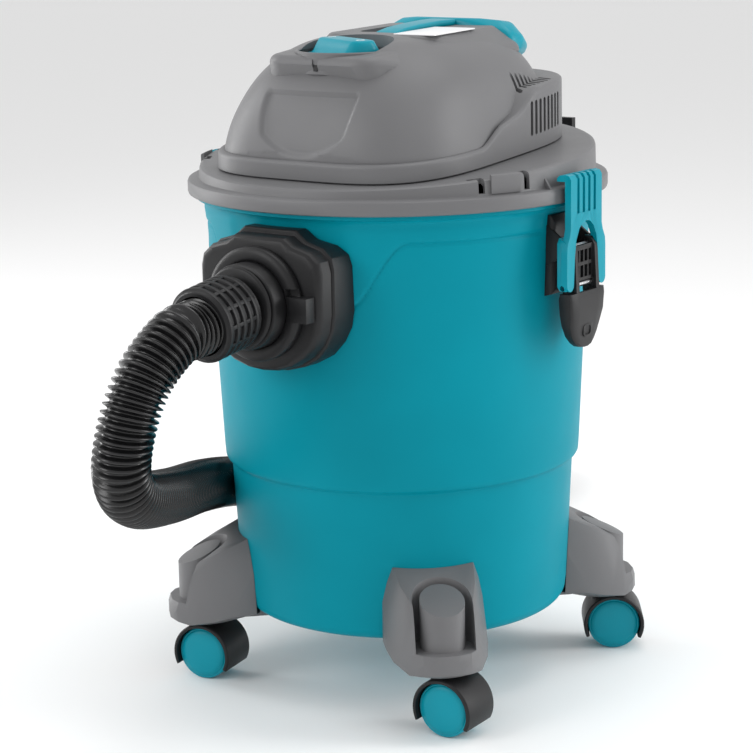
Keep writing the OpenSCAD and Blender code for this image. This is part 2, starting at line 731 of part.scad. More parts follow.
// ---------------------------------------------------------------- knob and switch
module power_knob() {
    color(teal) translate([0, knob_y, knob_z - well_h + 0.4]) union() {
        cylinder(r = knob_r, h = knob_h, $fn = 96);
        translate([0, 0, -12]) cylinder(r = knob_stem_r, h = 13, $fn = 48);
        hull() {
            translate([-knob_r + 4, -9, knob_h - 1]) cube([2 * knob_r - 8, 18, 1]);
            translate([-knob_r + 8, -4, 2 * knob_h - 1]) cube([2 * knob_r - 16, 8, 1]);
        }
    }
}
switch = [26, 21, 30];
module switch_body() {
    color(black) translate([0, knob_y, knob_z - 46]) difference() {
        translate([-switch[0] / 2, -switch[1] / 2, 0]) cube(switch);
        translate([0, 0, switch[2] - 10]) cylinder(r = knob_stem_r + fit, h = 30, $fn = 48);
    }
}

// ---------------------------------------------------------------- motor
fan_inlet_r = 18;
can_r = fan_r + 9;
can_z = rim_z + 3;
fan_z = can_z + 8;
motor_z = fan_z + 20;
motor_l = 34;
bearing_r = 11;
module motor_can() {
    color(black) difference() {
        union() {
            translate([0, 0, can_z - 6]) cylinder(r = can_r, h = motor_z - can_z + 6, $fn = 96);
            translate([0, 0, motor_z - 1]) cylinder(r = stator_r + 5, h = motor_l + 7, $fn = 96);
        }
        translate([0, 0, can_z - 4]) cylinder(r = fan_r + 3, h = motor_z - can_z + 1, $fn = 96);
        translate([0, 0, motor_z]) cylinder(r = stator_r - 1, h = motor_l + 2, $fn = 96);
        translate([0, 0, motor_z - 10]) cylinder(r = bearing_r, h = 20, $fn = 96);
        translate([0, 0, motor_z + 4]) cylinder(r = stator_r, h = motor_l - 14, $fn = 96);
        translate([0, 0, can_z - 10]) cylinder(r = fan_inlet_r, h = 20, $fn = 96);
        translate([0, 0, motor_z + motor_l]) cylinder(r = bearing_r, h = 20, $fn = 96);
    }
}
module motor_seal() {
    color(black) translate([0, 0, rim_z - 10.9]) difference() {
        cylinder(r = fan_inlet_r + 12, h = can_z - 6 - rim_z + 10.8, $fn = 64);
        translate([0, 0, -1]) cylinder(r = fan_inlet_r, h = 20, $fn = 64);
    }
}
armature_r = 24;
module stator() {
    color(steel) translate([0, 0, motor_z + 4.1]) difference() {
        cylinder(r = stator_r - 0.1, h = motor_l - 14.2, $fn = 96);
        translate([0, 0, -1]) cylinder(r = armature_r + 0.5, h = 80, $fn = 96);
    }
}
module armature() {
    color(brass) difference() {
        union() {
            translate([0, 0, motor_z + 6]) cylinder(r = armature_r, h = 18, $fn = 96);
            translate([0, 0, motor_z + 23]) cylinder(r = armature_r / 2, h = 8, $fn = 96);
        }
        translate([0, 0, motor_z]) cylinder(r = shaft_r, h = 80, $fn = 48);
    }
}
module rotor_shaft() {
    color(steel) translate([0, 0, fan_z]) cylinder(r = shaft_r, h = motor_z + motor_l + 5 - fan_z, $fn = 48);
}
hub_r = 9;
disc_t = 1.2;
blade_t = 1.6;
fan_h = 13;
module impeller() {
    color(steel) translate([0, 0, fan_z]) difference() {
        union() {
            cylinder(r = fan_r, h = disc_t, $fn = 96);
            translate([0, 0, 12]) cylinder(r = fan_r, h = disc_t, $fn = 96);
            cylinder(r = hub_r, h = fan_h, $fn = 48);
            for (a = [0:45:315]) rotate([0, 0, a])
                translate([hub_r - 1, -blade_t / 2, 0]) cube([fan_r - hub_r, blade_t, fan_h]);
        }
        translate([0, 0, -1]) cylinder(r = shaft_r, h = 30, $fn = 48);
        translate([0, 0, -1]) difference() {
            cylinder(r = fan_inlet_r, h = 3, $fn = 96);
            cylinder(r = hub_r, h = 3, $fn = 48);
        }
    }
}
module bearings() {
    color(steel) for (z = [motor_z - 2.9, motor_z + motor_l + 0.1]) translate([0, 0, z]) difference() {
        cylinder(r = bearing_r - 0.1, h = 5, $fn = 64);
        translate([0, 0, -1]) cylinder(r = shaft_r + fit, h = 8, $fn = 64);
    }
}

// ---------------------------------------------------------------- filter and float
cage_top = rim_z - 14;
cage_z = cage_top - cage_l;
cage_wall = 3;
window = 24;
drain_r = 6;
cloth_t = 4;
module filter_cage() {
    color(black) difference() {
        translate([0, 0, cage_z]) cylinder(r = cage_r, h = cage_l, $fn = 64);
        translate([0, 0, cage_z + cage_wall]) cylinder(r = cage_r - cage_wall, h = cage_l, $fn = 64);
        for (a = [0:45:315]) rotate([0, 0, a])
            translate([20, -window / 2, cage_z + 12]) cube([60, window, cage_l - 30]);
        for (a = [22.5:45:337.5]) rotate([0, 0, a])
            translate([28, 0, cage_z - 1]) cylinder(r = drain_r, h = 8, $fn = 24);
    }
}
module filter_sleeve() {
    color(white) difference() {
        translate([0, 0, cage_z - 1.6]) cylinder(r = cage_r + cloth_t, h = cage_l, $fn = 64);
        translate([0, 0, cage_z - 0.1]) cylinder(r = cage_r + 0.1, h = cage_l + 5, $fn = 64);
    }
}
float_r = 22;
float_z = cage_z + 3.1 + float_r;
module float_ball() {
    color(teal) translate([0, 0, float_z]) difference() {
        sphere(r = float_r, $fn = 64);
        sphere(r = float_r - 2, $fn = 48);
    }
}

// ---------------------------------------------------------------- small pieces on the head
gland_z = deck_z + 26;
gland_r = 5.5;
gland_flange_r = 7.8;
gland_l = 24;
module cord_gland() {
    color(black) translate([0, head_back * 0.90 - 6, gland_z]) rotate([-90, 0, 0]) difference() {
        union() {
            cylinder(r = gland_flange_r, h = 10, $fn = 48);
            cylinder(r = gland_r, h = gland_l, $fn = 48);
        }
        translate([0, 0, -1]) cylinder(r = 3.4, h = gland_l + 2, $fn = 48);
    }
}
hook_reach = housing_face;       // as far back as the inlet housing reaches forward
cable_hook_w = 104;
cable_hook_t = 5;
cable_hook_h = 24;
module cable_hook() {
    color(black) difference() {
        union() {
            translate([-cable_hook_w / 2, deck_r - 6, rim_top + 2])
                cube([cable_hook_w, hook_reach - deck_r + 6, cable_hook_t]);
            translate([-cable_hook_w / 2, hook_reach - cable_hook_t, rim_top + 2])
                cube([cable_hook_w, cable_hook_t, cable_hook_h]);
        }
        translate([0, 0, rim_top]) cylinder(r = deck_r + 0.1, h = 40, $fn = round_fn);
        translate([-34, deck_r + 5, rim_top]) cube([68, 7, 10]);
    }
}
HEAD_SCREWS = [[74, -80], [74, 70], [-74, 70], [-74, -80]];
module head_screws() {
    color(steel) for (p = HEAD_SCREWS) translate([p[0], p[1], deck_z + slope * p[1] - 6.2 - shell_wall])
        cylinder(r = 4, h = 3, $fn = 24);
}

tank();
inlet_housing();
inlet_gasket();
inlet_screws();
inlet_elbow();
inlet_collar();
hose_cuff();
hose_sleeve();
hose();
hand_grip();
air_regulator();
foot_screws();
lid_gasket();
lid();
head_cover();
handle();
label_plate();
power_knob();
switch_body();
cord_gland();
motor_can();
motor_seal();
stator();
rotor_shaft();
armature();
impeller();
bearings();
filter_cage();
filter_sleeve();
float_ball();
cable_hook();
head_screws();
foot(FOOT_ANGLES[0]);  // foot_front_right
foot(FOOT_ANGLES[1]);  // foot_back_right
foot(FOOT_ANGLES[2]);  // foot_back_left
foot(FOOT_ANGLES[3]);  // foot_front_left
castor_stem(0);  // castor_stem_fr
castor_stem(1);  // castor_stem_br
castor_stem(2);  // castor_stem_bl
castor_stem(3);  // castor_stem_fl
castor_hood(0);  // castor_hood_fr
castor_hood(1);  // castor_hood_br
castor_hood(2);  // castor_hood_bl
castor_hood(3);  // castor_hood_fl
castor_wheels(0);  // castor_wheels_fr
castor_wheels(1);  // castor_wheels_br
castor_wheels(2);  // castor_wheels_bl
castor_wheels(3);  // castor_wheels_fl
latch_bracket(1);  // latch_bracket_right
latch_lever(1);  // latch_lever_right
latch_hook(1);  // latch_hook_right
latch_pin(1);  // latch_pin_right
hook_pin(1);  // hook_pin_right
latch_bracket(-1);  // latch_bracket_left
latch_lever(-1);  // latch_lever_left
latch_hook(-1);  // latch_hook_left
latch_pin(-1);  // latch_pin_left
hook_pin(-1);  // hook_pin_left
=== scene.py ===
"""Shop vacuum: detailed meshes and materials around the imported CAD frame.

Sizes are millimetres, meshes are metres.
"""
import json
import math

import bmesh
import bpy
from mathutils import Matrix, Vector


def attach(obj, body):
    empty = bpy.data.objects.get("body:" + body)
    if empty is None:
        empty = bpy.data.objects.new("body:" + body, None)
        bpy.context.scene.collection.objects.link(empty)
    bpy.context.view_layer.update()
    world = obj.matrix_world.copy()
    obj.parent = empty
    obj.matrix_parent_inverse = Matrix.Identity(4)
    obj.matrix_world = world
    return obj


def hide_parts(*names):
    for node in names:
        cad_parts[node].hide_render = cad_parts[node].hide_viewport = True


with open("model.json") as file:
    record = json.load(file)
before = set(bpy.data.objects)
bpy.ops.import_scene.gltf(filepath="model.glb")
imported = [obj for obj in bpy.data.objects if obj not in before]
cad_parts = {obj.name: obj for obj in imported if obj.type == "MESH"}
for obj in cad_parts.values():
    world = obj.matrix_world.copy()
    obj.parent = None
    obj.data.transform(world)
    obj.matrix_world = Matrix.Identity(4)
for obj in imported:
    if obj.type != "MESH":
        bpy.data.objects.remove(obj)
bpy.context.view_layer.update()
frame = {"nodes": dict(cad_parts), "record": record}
nodes = frame["nodes"]

MM = 0.001

# ------------------------------------------------------------------ sizes shared with the CAD model
TANK_Z = 55
TANK_TOP = 367
LEDGE_Z = 167
RIM_Z = 367.5
RIM_TOP = 378
RIM_R = 155
DECK_R = 146
DECK_Z = 394.6
SLOPE = math.tan(math.radians(4.06))
INLET_Z = 307
HOUSING_FACE = 168.3
SLEEVE_Y = -192.3
HEAD_A = 104
HEAD_FRONT = 124
HEAD_BACK = 112
COVER_TOP = 480
KNOB_Y = -60
KNOB_Z = 470.9
KNOB_R = 31
SWIVEL_R = 157
WHEEL_R = 20
WHEEL_W = 13
TRAIL = 8
FOOT_ANGLES = {"fr": 45, "br": 135, "bl": 225, "fl": 315}
CASTOR_TURN = {"fr": 3, "br": 34, "bl": 20, "fl": 11}
FOOT_NODES = {"fr": "foot_front_right", "br": "foot_back_right",
              "bl": "foot_back_left", "fl": "foot_front_left"}
HOSE_D = 40
HOSE_ROUTE = [
    (0, -200, 306), (0, -240, 300.5), (0, -258, 298), (-4, -284, 276), (-9, -298, 244),
    (-17, -296, 210), (-31, -268, 186), (-65, -196, 166), (-111, -106, 146), (-156, -15, 122),
    (-190, 85, 94), (-194, 185, 58), (-172, 262, 34), (-151, 332, 24), (-154, 402, 24),
    (-166, 452, 24), (-187, 485, 24), (-221, 506, 24), (-260, 509, 24), (-293, 496, 24),
    (-315, 476, 24), (-327, 460, 24), (-339, 444, 24)]


def tank_radius(z):
    """Outer radius of the tank at a height."""
    if z < LEDGE_Z:
        return 123.4 + 5.5 * (z - TANK_Z) / 112
    return 133.4 + 8.9 * (z - LEDGE_Z) / 200


def smooth(a, b, x):
    """0 below a, 1 above b, smooth between."""
    t = min(max((x - a) / (b - a), 0.0), 1.0)
    return t * t * (3 - 2 * t)


def turn(axis, degrees):
    """Rotation about an axis through the origin."""
    return Matrix.Rotation(math.radians(degrees), 4, axis)


def turn_to(angle):
    """Rotation that carries +X to the direction at that angle from the front, towards the right side."""
    return turn("Z", angle - 90)


def move(x, y, z):
    """Translation by millimetres."""
    return Matrix.Translation(Vector((x, y, z)) * MM)


# lays a flat outline of (y, z) against +X
FACE_OUT = Matrix(((0, 0, 1, 0), (1, 0, 0, 0), (0, 1, 0, 0), (0, 0, 0, 1)))


# ------------------------------------------------------------------ mesh helpers
def new_object(name, mesh):
    """Object for a mesh, linked to the scene."""
    obj = bpy.data.objects.new(name, mesh)
    bpy.context.scene.collection.objects.link(obj)
    return obj


def from_lists(name, points, faces):
    """Object from points in millimetres and faces."""
    mesh = bpy.data.meshes.new(name)
    mesh.from_pydata([Vector(p) * MM for p in points], [], faces)
    mesh.update()
    return new_object(name, mesh)


def tidy_normals(obj):
    """Makes every face look outwards."""
    bm = bmesh.new()
    bm.from_mesh(obj.data)
    bmesh.ops.recalc_face_normals(bm, faces=bm.faces)
    bm.to_mesh(obj.data)
    bm.free()


def grid(name, rows, closed=True, caps=(True, True)):
    """Skin over rows of points; each row is a closed ring when closed is set."""
    n = len(rows[0])
    points = [p for row in rows for p in row]
    faces = []
    last = n if closed else n - 1
    for i in range(len(rows) - 1):
        for k in range(last):
            a, b = i * n + k, i * n + (k + 1) % n
            faces.append((a, b, b + n, a + n))
    if caps[0]:
        faces.append(tuple(range(n - 1, -1, -1)))
    if caps[1]:
        faces.append(tuple(range((len(rows) - 1) * n, len(rows) * n)))
    obj = from_lists(name, points, faces)
    tidy_normals(obj)
    return obj


def spun(name, profile, n=96, bump=None, loop=False):
    """Profile of (radius, height) turned about Z, closed by loop; bump(angle, r, z) may move a point."""
    rows = []
    for r, z in profile:
        row = []
        for k in range(n):
            a = 2 * math.pi * k / n
            rr, zz = bump(a, r, z) if bump else (r, z)
            row.append((rr * math.cos(a), rr * math.sin(a), zz))
        rows.append(row)
    if loop:
        rows.append(rows[0])
    obj = grid(name, rows, caps=(not loop, not loop))
    merge(obj)
    return obj


def merge(obj, distance=0.01):
    """Joins points that lie on each other and drops faces with no area."""
    bm = bmesh.new()
    bm.from_mesh(obj.data)
    bmesh.ops.remove_doubles(bm, verts=bm.verts, dist=distance * MM)
    bmesh.ops.recalc_face_normals(bm, faces=bm.faces)
    bm.to_mesh(obj.data)
    bm.free()


def hull(name, points):
    """Convex solid around points in millimetres."""
    bm = bmesh.new()
    for p in points:
        bm.verts.new(Vector(p) * MM)
    out = bmesh.ops.convex_hull(bm, input=bm.verts)
    unused = [g for g in out["geom_interior"] if isinstance(g, bmesh.types.BMVert)]
    bmesh.ops.delete(bm, geom=unused, context="VERTS")
    bmesh.ops.dissolve_limit(bm, angle_limit=0.02, verts=bm.verts, edges=bm.edges)
    mesh = bpy.data.meshes.new(name)
    bm.to_mesh(mesh)
    bm.free()
    return new_object(name, mesh)


def box(name, low, high):
    """Box between two corners."""
    xs, ys, zs = zip(low, high)
    return hull(name, [(x, y, z) for x in xs for y in ys for z in zs])


def ring_points(r, z, n=32, cx=0, cy=0):
    """Circle of points at a height."""
    turns = [2 * math.pi * k / n for k in range(n)]
    return [(cx + r * math.cos(a), cy + r * math.sin(a), z) for a in turns]


def cylinder(name, r, low, high, n=48, r_top=None):
    """Solid cylinder or cone about Z."""
    return grid(name, [ring_points(r, low, n), ring_points(r if r_top is None else r_top, high, n)])


def prism(name, outline, low, high):
    """Outline of (x, y) drawn up from one height to another."""
    return grid(name, [[(x, y, low) for x, y in outline], [(x, y, high) for x, y in outline]])


def round_rect(w, h, r, n=6, cx=0, cy=0):
    """Outline of a rectangle with round corners."""
    out = []
    for qx, qy, start in ((1, 1, 0), (-1, 1, 90), (-1, -1, 180), (1, -1, 270)):
        for k in range(n + 1):
            a = math.radians(start + 90 * k / n)
            out.append((cx + qx * (w / 2 - r) + r * math.cos(a), cy + qy * (h / 2 - r) + r * math.sin(a)))
    return out


def place(obj, matrix):
    """Moves the mesh itself."""
    obj.data.transform(matrix)
    if matrix.determinant() < 0:
        obj.data.flip_normals()
    return obj


def boolean(obj, others, operation="DIFFERENCE"):
    """Cuts or joins others with obj, and removes them."""
    for other in others:
        mod = obj.modifiers.new("b", "BOOLEAN")
        mod.operation = operation
        mod.solver = "EXACT"
        mod.object = other
        apply_modifiers(obj)
        bpy.data.objects.remove(other)
    return obj


def apply_modifiers(obj):
    """Bakes the modifiers into the mesh."""
    graph = bpy.context.evaluated_depsgraph_get()
    mesh = bpy.data.meshes.new_from_object(obj.evaluated_get(graph))
    obj.modifiers.clear()
    obj.data = mesh


def join(obj, others):
    """Puts the meshes of others into obj as loose parts."""
    bm = bmesh.new()
    bm.from_mesh(obj.data)
    for other in others:
        bm.from_mesh(other.data)
        bpy.data.objects.remove(other)
    bm.to_mesh(obj.data)
    bm.free()
    return obj


def shade(obj, angle=30):
    """Smooth shading with sharp edges where faces meet at more than the angle."""
    bm = bmesh.new()
    bm.from_mesh(obj.data)
    limit = math.radians(angle)
    for f in bm.faces:
        f.smooth = True
    for e in bm.edges:
        e.smooth = len(e.link_faces) != 2 or e.calc_face_angle(0) < limit
    bm.to_mesh(obj.data)
    bm.free()


def bevel(obj, width, segments=3, angle=30):
    """Rounds the edges that are sharper than the angle."""
    mod = obj.modifiers.new("round", "BEVEL")
    mod.width = width * MM
    mod.segments = segments
    mod.limit_method = "ANGLE"
    mod.angle_limit = math.radians(angle)
    mod.use_clamp_overlap = True
    apply_modifiers(obj)
    return obj


def finish_piece(obj, material, body, node=None, angle=30):
    """Material, shading and the CAD body that the piece moves with."""
    obj.data.materials.clear()
    obj.data.materials.append(material)
    shade(obj, angle)
    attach(obj, body)
    if node:
        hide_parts(*([node] if isinstance(node, str) else node))
    return obj


# ------------------------------------------------------------------ materials
def plastic(name, color, rough=0.42, grain=0.5, grain_size=0.6, variation=0.06, spec=0.5, ior=1.5):
    """Moulded plastic: slight colour drift, uneven gloss and a fine eroded grain."""
    mat = bpy.data.materials.new(name)
    mat.use_nodes = True
    tree = mat.node_tree
    bsdf = tree.nodes["Principled BSDF"]
    coords = tree.nodes.new("ShaderNodeTexCoord")

    def noise(scale, detail=3.0):
        tex = tree.nodes.new("ShaderNodeTexNoise")
        tex.inputs["Scale"].default_value = scale
        tex.inputs["Detail"].default_value = detail
        tree.links.new(coords.outputs["Object"], tex.inputs["Vector"])
        return tex.outputs["Fac"]

    drift = tree.nodes.new("ShaderNodeValToRGB")
    drift.color_ramp.elements[0].position = 0.3
    drift.color_ramp.elements[1].position = 0.7
    drift.color_ramp.elements[0].color = (*[c * (1 - variation) for c in color], 1)
    drift.color_ramp.elements[1].color = (*[min(c * (1 + variation), 1) for c in color], 1)
    tree.links.new(noise(9.0), drift.inputs["Fac"])
    tree.links.new(drift.outputs["Color"], bsdf.inputs["Base Color"])

    gloss = tree.nodes.new("ShaderNodeMapRange")
    gloss.inputs["To Min"].default_value = rough - 0.05
    gloss.inputs["To Max"].default_value = rough + 0.07
    tree.links.new(noise(40.0, 6.0), gloss.inputs["Value"])
    tree.links.new(gloss.outputs["Result"], bsdf.inputs["Roughness"])

    relief = tree.nodes.new("ShaderNodeBump")
    relief.inputs["Strength"].default_value = grain
    relief.inputs["Distance"].default_value = 0.00012
    tree.links.new(noise(1000.0 / grain_size, 2.0), relief.inputs["Height"])
    tree.links.new(relief.outputs["Normal"], bsdf.inputs["Normal"])
    bsdf.inputs["Specular IOR Level"].default_value = spec
    bsdf.inputs["IOR"].default_value = ior
    return mat


def metal(name, color, rough, stretch=(1, 1, 30)):
    """Machined metal with fine drawn lines."""
    mat = plastic(name, color, rough, grain=0.3, grain_size=1.5, variation=0.1)
    tree = mat.node_tree
    tree.nodes["Principled BSDF"].inputs["Metallic"].default_value = 1.0
    mapping = tree.nodes.new("ShaderNodeMapping")
    mapping.inputs["Scale"].default_value = stretch
    coords = [n for n in tree.nodes if n.type == "TEX_COORD"][0]
    tree.links.new(coords.outputs["Object"], mapping.inputs["Vector"])
    for tex in [n for n in tree.nodes if n.type == "TEX_NOISE"]:
        tree.links.new(mapping.outputs["Vector"], tex.inputs["Vector"])
    return mat


def cloth(name, color):
    """Felted filter cloth: a woven bump under a soft sheen."""
    mat = plastic(name, color, rough=0.9, grain=1.0, grain_size=2.0, variation=0.12)
    mat.node_tree.nodes["Principled BSDF"].inputs["Sheen Weight"].default_value = 0.4
    return mat


TEAL = plastic("teal plastic", (0.0, 0.25, 0.325), rough=0.45, grain=0.3, grain_size=0.7, spec=0.3, ior=1.22)
TEAL_GLOSS = plastic("teal plastic smooth", (0.0, 0.265, 0.345), rough=0.34, grain=0.12, grain_size=0.7,
        spec=0.5, ior=1.3)
GRAY = plastic("gray plastic", (0.145, 0.145, 0.15), rough=0.44, grain=0.6, grain_size=0.6, spec=0.35)
BLACK = plastic("black plastic", (0.010, 0.010, 0.011), rough=0.42, grain=0.8, grain_size=0.7, variation=0.15,
                spec=0.3)
BLACK_GLOSS = plastic("hose plastic", (0.005, 0.005, 0.0055), rough=0.24, grain=0.15, grain_size=1.0,
        spec=0.5)
RUBBER = plastic("black rubber", (0.015, 0.015, 0.015), rough=0.7, grain=0.5)
WHITE = plastic("white label", (0.80, 0.80, 0.81), rough=0.35, grain=0.05, variation=0.02)
PAINT = plastic("white print", (0.85, 0.85, 0.85), rough=0.5, grain=0.05, variation=0.02)
STEEL = metal("steel", (0.55, 0.55, 0.57), 0.3)
COPPER = metal("copper winding", (0.55, 0.25, 0.12), 0.35, (60, 60, 1))
ALUMINIUM = metal("cast aluminium", (0.70, 0.71, 0.73), 0.4, (1, 1, 1))
CLOTH = cloth("filter cloth", (0.70, 0.69, 0.65))
SLOT_MATERIALS = {
    "teal_plastic": TEAL, "gray_plastic": GRAY, "black_plastic": BLACK, "hose_plastic": BLACK_GLOSS,
    "black_rubber": RUBBER, "steel": STEEL, "copper_winding": COPPER, "cast_aluminium": ALUMINIUM,
    "white_label": WHITE, "filter_cloth": CLOTH}


# ------------------------------------------------------------------ camera
def make_camera():
    """Long lens from the front right, a little above, with the picture turned by one degree."""
    azimuth, elevation, distance = math.radians(36), math.radians(12.63), 1.750
    target = Vector((-14.9, -10.8, 223.0)) * MM
    away = Vector((math.sin(azimuth) * math.cos(elevation), -math.cos(azimuth) * math.cos(elevation),
                   math.sin(elevation)))
    data = bpy.data.cameras.new("camera")
    data.lens = 110.85
    data.sensor_width = 36
    cam = bpy.data.objects.new("camera", data)
    cam.location = target + away * distance
    facing = away.to_track_quat("Z", "Y").to_matrix().to_4x4()
    roll = turn("Z", -1.11)
    cam.matrix_world = Matrix.Translation(cam.location) @ facing @ roll
    bpy.context.scene.collection.objects.link(cam)
    bpy.context.scene.camera = cam


make_camera()


# ------------------------------------------------------------------ hose
def curve_points(points, steps):
    """Smooth curve through the points, as in the CAD model."""
    p = [Vector(v) for v in points]
    out = []
    for i in range(len(p) - 1):
        a, b, c, d = p[max(i - 1, 0)], p[i], p[i + 1], p[min(i + 2, len(p) - 1)]
        for k in range(steps):
            t = k / steps
            out.append(0.5 * (2 * b + (c - a) * t + (2 * a - 5 * b + 4 * c - d) * t * t
                              + (3 * b - a - 3 * c + d) * t ** 3))
    out.append(p[-1])
    return out


def even_points(points, step):
    """Points a fixed distance apart along a fine curve."""
    out = [points[0]]
    left = step
    for a, b in zip(points, points[1:]):
        length = (b - a).length
        done = 0.0
        while length - done >= left:
            done += left
            out.append(a + (b - a) * (done / length))
            left = step
        left -= length - done
    return out


HOSE_PITCH = 5.0
RIB_RINGS = 8
RIB_DEPTH = 2.2
HOSE_SIDES = 40


def make_hose():
    """Corrugated hose: a helical rib on a tube that follows the route."""
    centres = even_points(curve_points(HOSE_ROUTE, 40), HOSE_PITCH / RIB_RINGS)
    rows = []
    side = Vector((1, 0, 0))
    last = len(centres) - 1
    for i, centre in enumerate(centres):
        ahead = (centres[min(i + 1, last)] - centres[max(i - 1, 0)]).normalized()
        side = (side - ahead * side.dot(ahead)).normalized()
        up = ahead.cross(side)
        row = []
        for k in range(HOSE_SIDES):
            a = 2 * math.pi * k / HOSE_SIDES
            wave = math.cos(2 * math.pi * (i / RIB_RINGS) - a)
            r = HOSE_D / 2 - RIB_DEPTH + RIB_DEPTH * math.copysign(abs(wave) ** 0.7, wave)
            row.append(centre + (side * math.cos(a) + up * math.sin(a)) * r)
        rows.append(row)
    hose = grid("corrugated_hose", rows)
    finish_piece(hose, BLACK_GLOSS, "tank_body", "hose", angle=80)
    return hose, centres


hose, hose_path = make_hose()


# ------------------------------------------------------------------ tank
def tank_profile():
    """Outer wall up, lip, then the inner wall down."""
    out = [(0, TANK_Z), (60, TANK_Z), (108, TANK_Z)]
    out += [(114.4 + 9 * math.sin(math.radians(a)), TANK_Z + 9 - 9 * math.cos(math.radians(a)))
            for a in range(0, 91, 10)]
    out += [(tank_radius(z), z) for z in range(70, 162, 6)]
    out += [(128.75, 164), (129.0, 165.2), (129.6, 166.3), (131, 167.4), (132.6, 168.3), (133.3, 169.6),
            (133.5, 172)]
    out += [(tank_radius(z), z) for z in range(178, 352)]
    out += [(142.0, 354), (142.3, 357), (142.9, 360), (144.4, 362.4), (147, 363.8), (149, 364.4), (149, 367),
            (139.5, 367)]
    out += [(tank_radius(z) - 2.8, z) for z in (360, 300, 240, 180)]
    out += [(130.6, 170), (126.0, 165), (tank_radius(120) - 2.8, 120), (121, 66), (114, 58), (0, 57.8)]
    return out


def tank_relief(angle, r, z):
    """Shallow step of the label panel's border: the wall outside the border stands back a little."""
    if r < 130 or not 176 < z < 358:
        return r, z
    a = math.degrees(angle) + 90
    a = a - 360 if a > 180 else a
    a = abs(a)
    edge = 301 + 46 * smooth(20, 38, a)
    shown = smooth(17, 22, a) * (1 - smooth(80, 82, a))
    step = 0.9 * smooth(edge - 1, edge + 1, z) - 1.3 * math.exp(-((z - edge) / 1.4) ** 2)
    return r + step * shown, z


def make_tank():
    """Drum with its ledge, lip and the moulded border beside the inlet."""
    tank = spun("tank_shell", tank_profile(), n=480, bump=tank_relief)
    mouth = place(cylinder("mouth", 23, 0, 200, 64), turn("X", 90))
    place(mouth, move(0, 0, INLET_Z))
    boolean(tank, [mouth])
    finish_piece(tank, TEAL, "tank_body", "tank", angle=40)


make_tank()


# ------------------------------------------------------------------ lid
def deck_height(y):
    """Top of the sloping deck."""
    return DECK_Z + SLOPE * y


def make_lid():
    """Rim, deck wall and sloping deck in one moulding, with its notches and gussets."""
    def slope(angle, r, z):
        if z < 380:
            return r, z
        return r, z - DECK_Z + deck_height(r * math.sin(angle))

    profile = [(62, DECK_Z - 3), (135, DECK_Z - 3), (DECK_R - 3, DECK_Z - 5), (DECK_R - 3, RIM_Z + 3),
               (133, RIM_Z + 3), (133, RIM_Z - 14), (138.6, RIM_Z - 14), (138.7, RIM_Z), (150, RIM_Z),
               (153.4, RIM_Z), (154.6, RIM_Z + 0.6), (RIM_R, RIM_Z + 2), (RIM_R, RIM_TOP - 2.2),
               (154.3, RIM_TOP - 0.7), (152.8, RIM_TOP),
               (148.2, RIM_TOP + 0.0), (146.9, RIM_TOP + 0.5), (146.4, RIM_TOP + 1.6), (DECK_R, DECK_Z - 3),
               (145.4, DECK_Z - 1.2), (144.0, DECK_Z - 0.3), (142, DECK_Z), (100, DECK_Z), (62, DECK_Z)]
    lid = spun("lid_moulding", profile, n=256, bump=slope, loop=True)
    cutters = []
    for side in (1, -1):
        for a in (58.5, 73):
            slot = box("slot", (DECK_R - 7, -2.4, RIM_TOP + 1.6), (DECK_R + 4, 2.4, 420))
            cutters.append(place(slot, turn_to(side * a)))
        notch = box("notch", (DECK_R - 7, -9, 387), (DECK_R - 3.5, 2.4, 420))
        cutters.append(place(notch, turn_to(side * 58.5)))
    boolean(lid, cutters)
    extras = []
    for side in (1, -1):
        arc = [math.radians(61.2 + 1.15 * i) for i in range(9)]
        pad = []
        for r, z, h in ((-1, 0.8, 13.6), (1.2, 0.8, 12.8), (1.5, 1.1, 11.6)):
            low = [((DECK_R + r) * math.sin(a), -(DECK_R + r) * math.cos(a), RIM_TOP + z) for a in arc]
            pad.append(low + [(x, y, height + h) for x, y, height in reversed(low)])
        extras.append(place(grid("pad", pad), Matrix.Scale(side, 4, Vector((1, 0, 0)))))
        for sign in (1, -1):
            rib = hull("gusset", [(DECK_R - 1, -1, RIM_TOP - 1), (DECK_R - 1, 1, RIM_TOP - 1),
                                  (DECK_R + 7, -1, RIM_TOP - 1), (DECK_R + 7, 1, RIM_TOP - 1),
                                  (DECK_R - 1, -1, RIM_TOP + 9), (DECK_R - 1, 1, RIM_TOP + 9)])
            bevel(rib, 0.4, 2)
            extras.append(place(rib, turn_to(side * 90 + sign * 10)))
    plate = spun("lid_floor", [(18, RIM_Z - 14), (133.5, RIM_Z - 14), (133.5, RIM_Z - 11), (18, RIM_Z - 11)],
                 n=128, loop=True)
    join(lid, extras + [plate])
    finish_piece(lid, GRAY, "head_body", "lid")


make_lid()


# ------------------------------------------------------------------ head cover
def power(v, e):
    """Signed power, for superellipses."""
    return math.copysign(abs(v) ** e, v)


# share of the height, half width, front reach, back reach, exponent
SECTIONS = [
    (0.00, 101.5, 121.0, 111.0, 3.5), (0.15, 100.0, 119.5, 109.5, 3.4), (0.30, 97.5, 116.0, 107.5, 3.3),
    (0.45, 94.0, 111.0, 105.0, 3.1), (0.60, 89.0, 104.0, 102.0, 2.9), (0.72, 82.5, 96.0, 98.5, 2.8),
    (0.83, 73.0, 86.5, 94.0, 2.7), (0.91, 62.0, 76.5, 88.0, 2.7), (0.97, 48.5, 63.0, 77.0, 2.7),
    (1.00, 32.0, 45.0, 61.0, 2.7)]


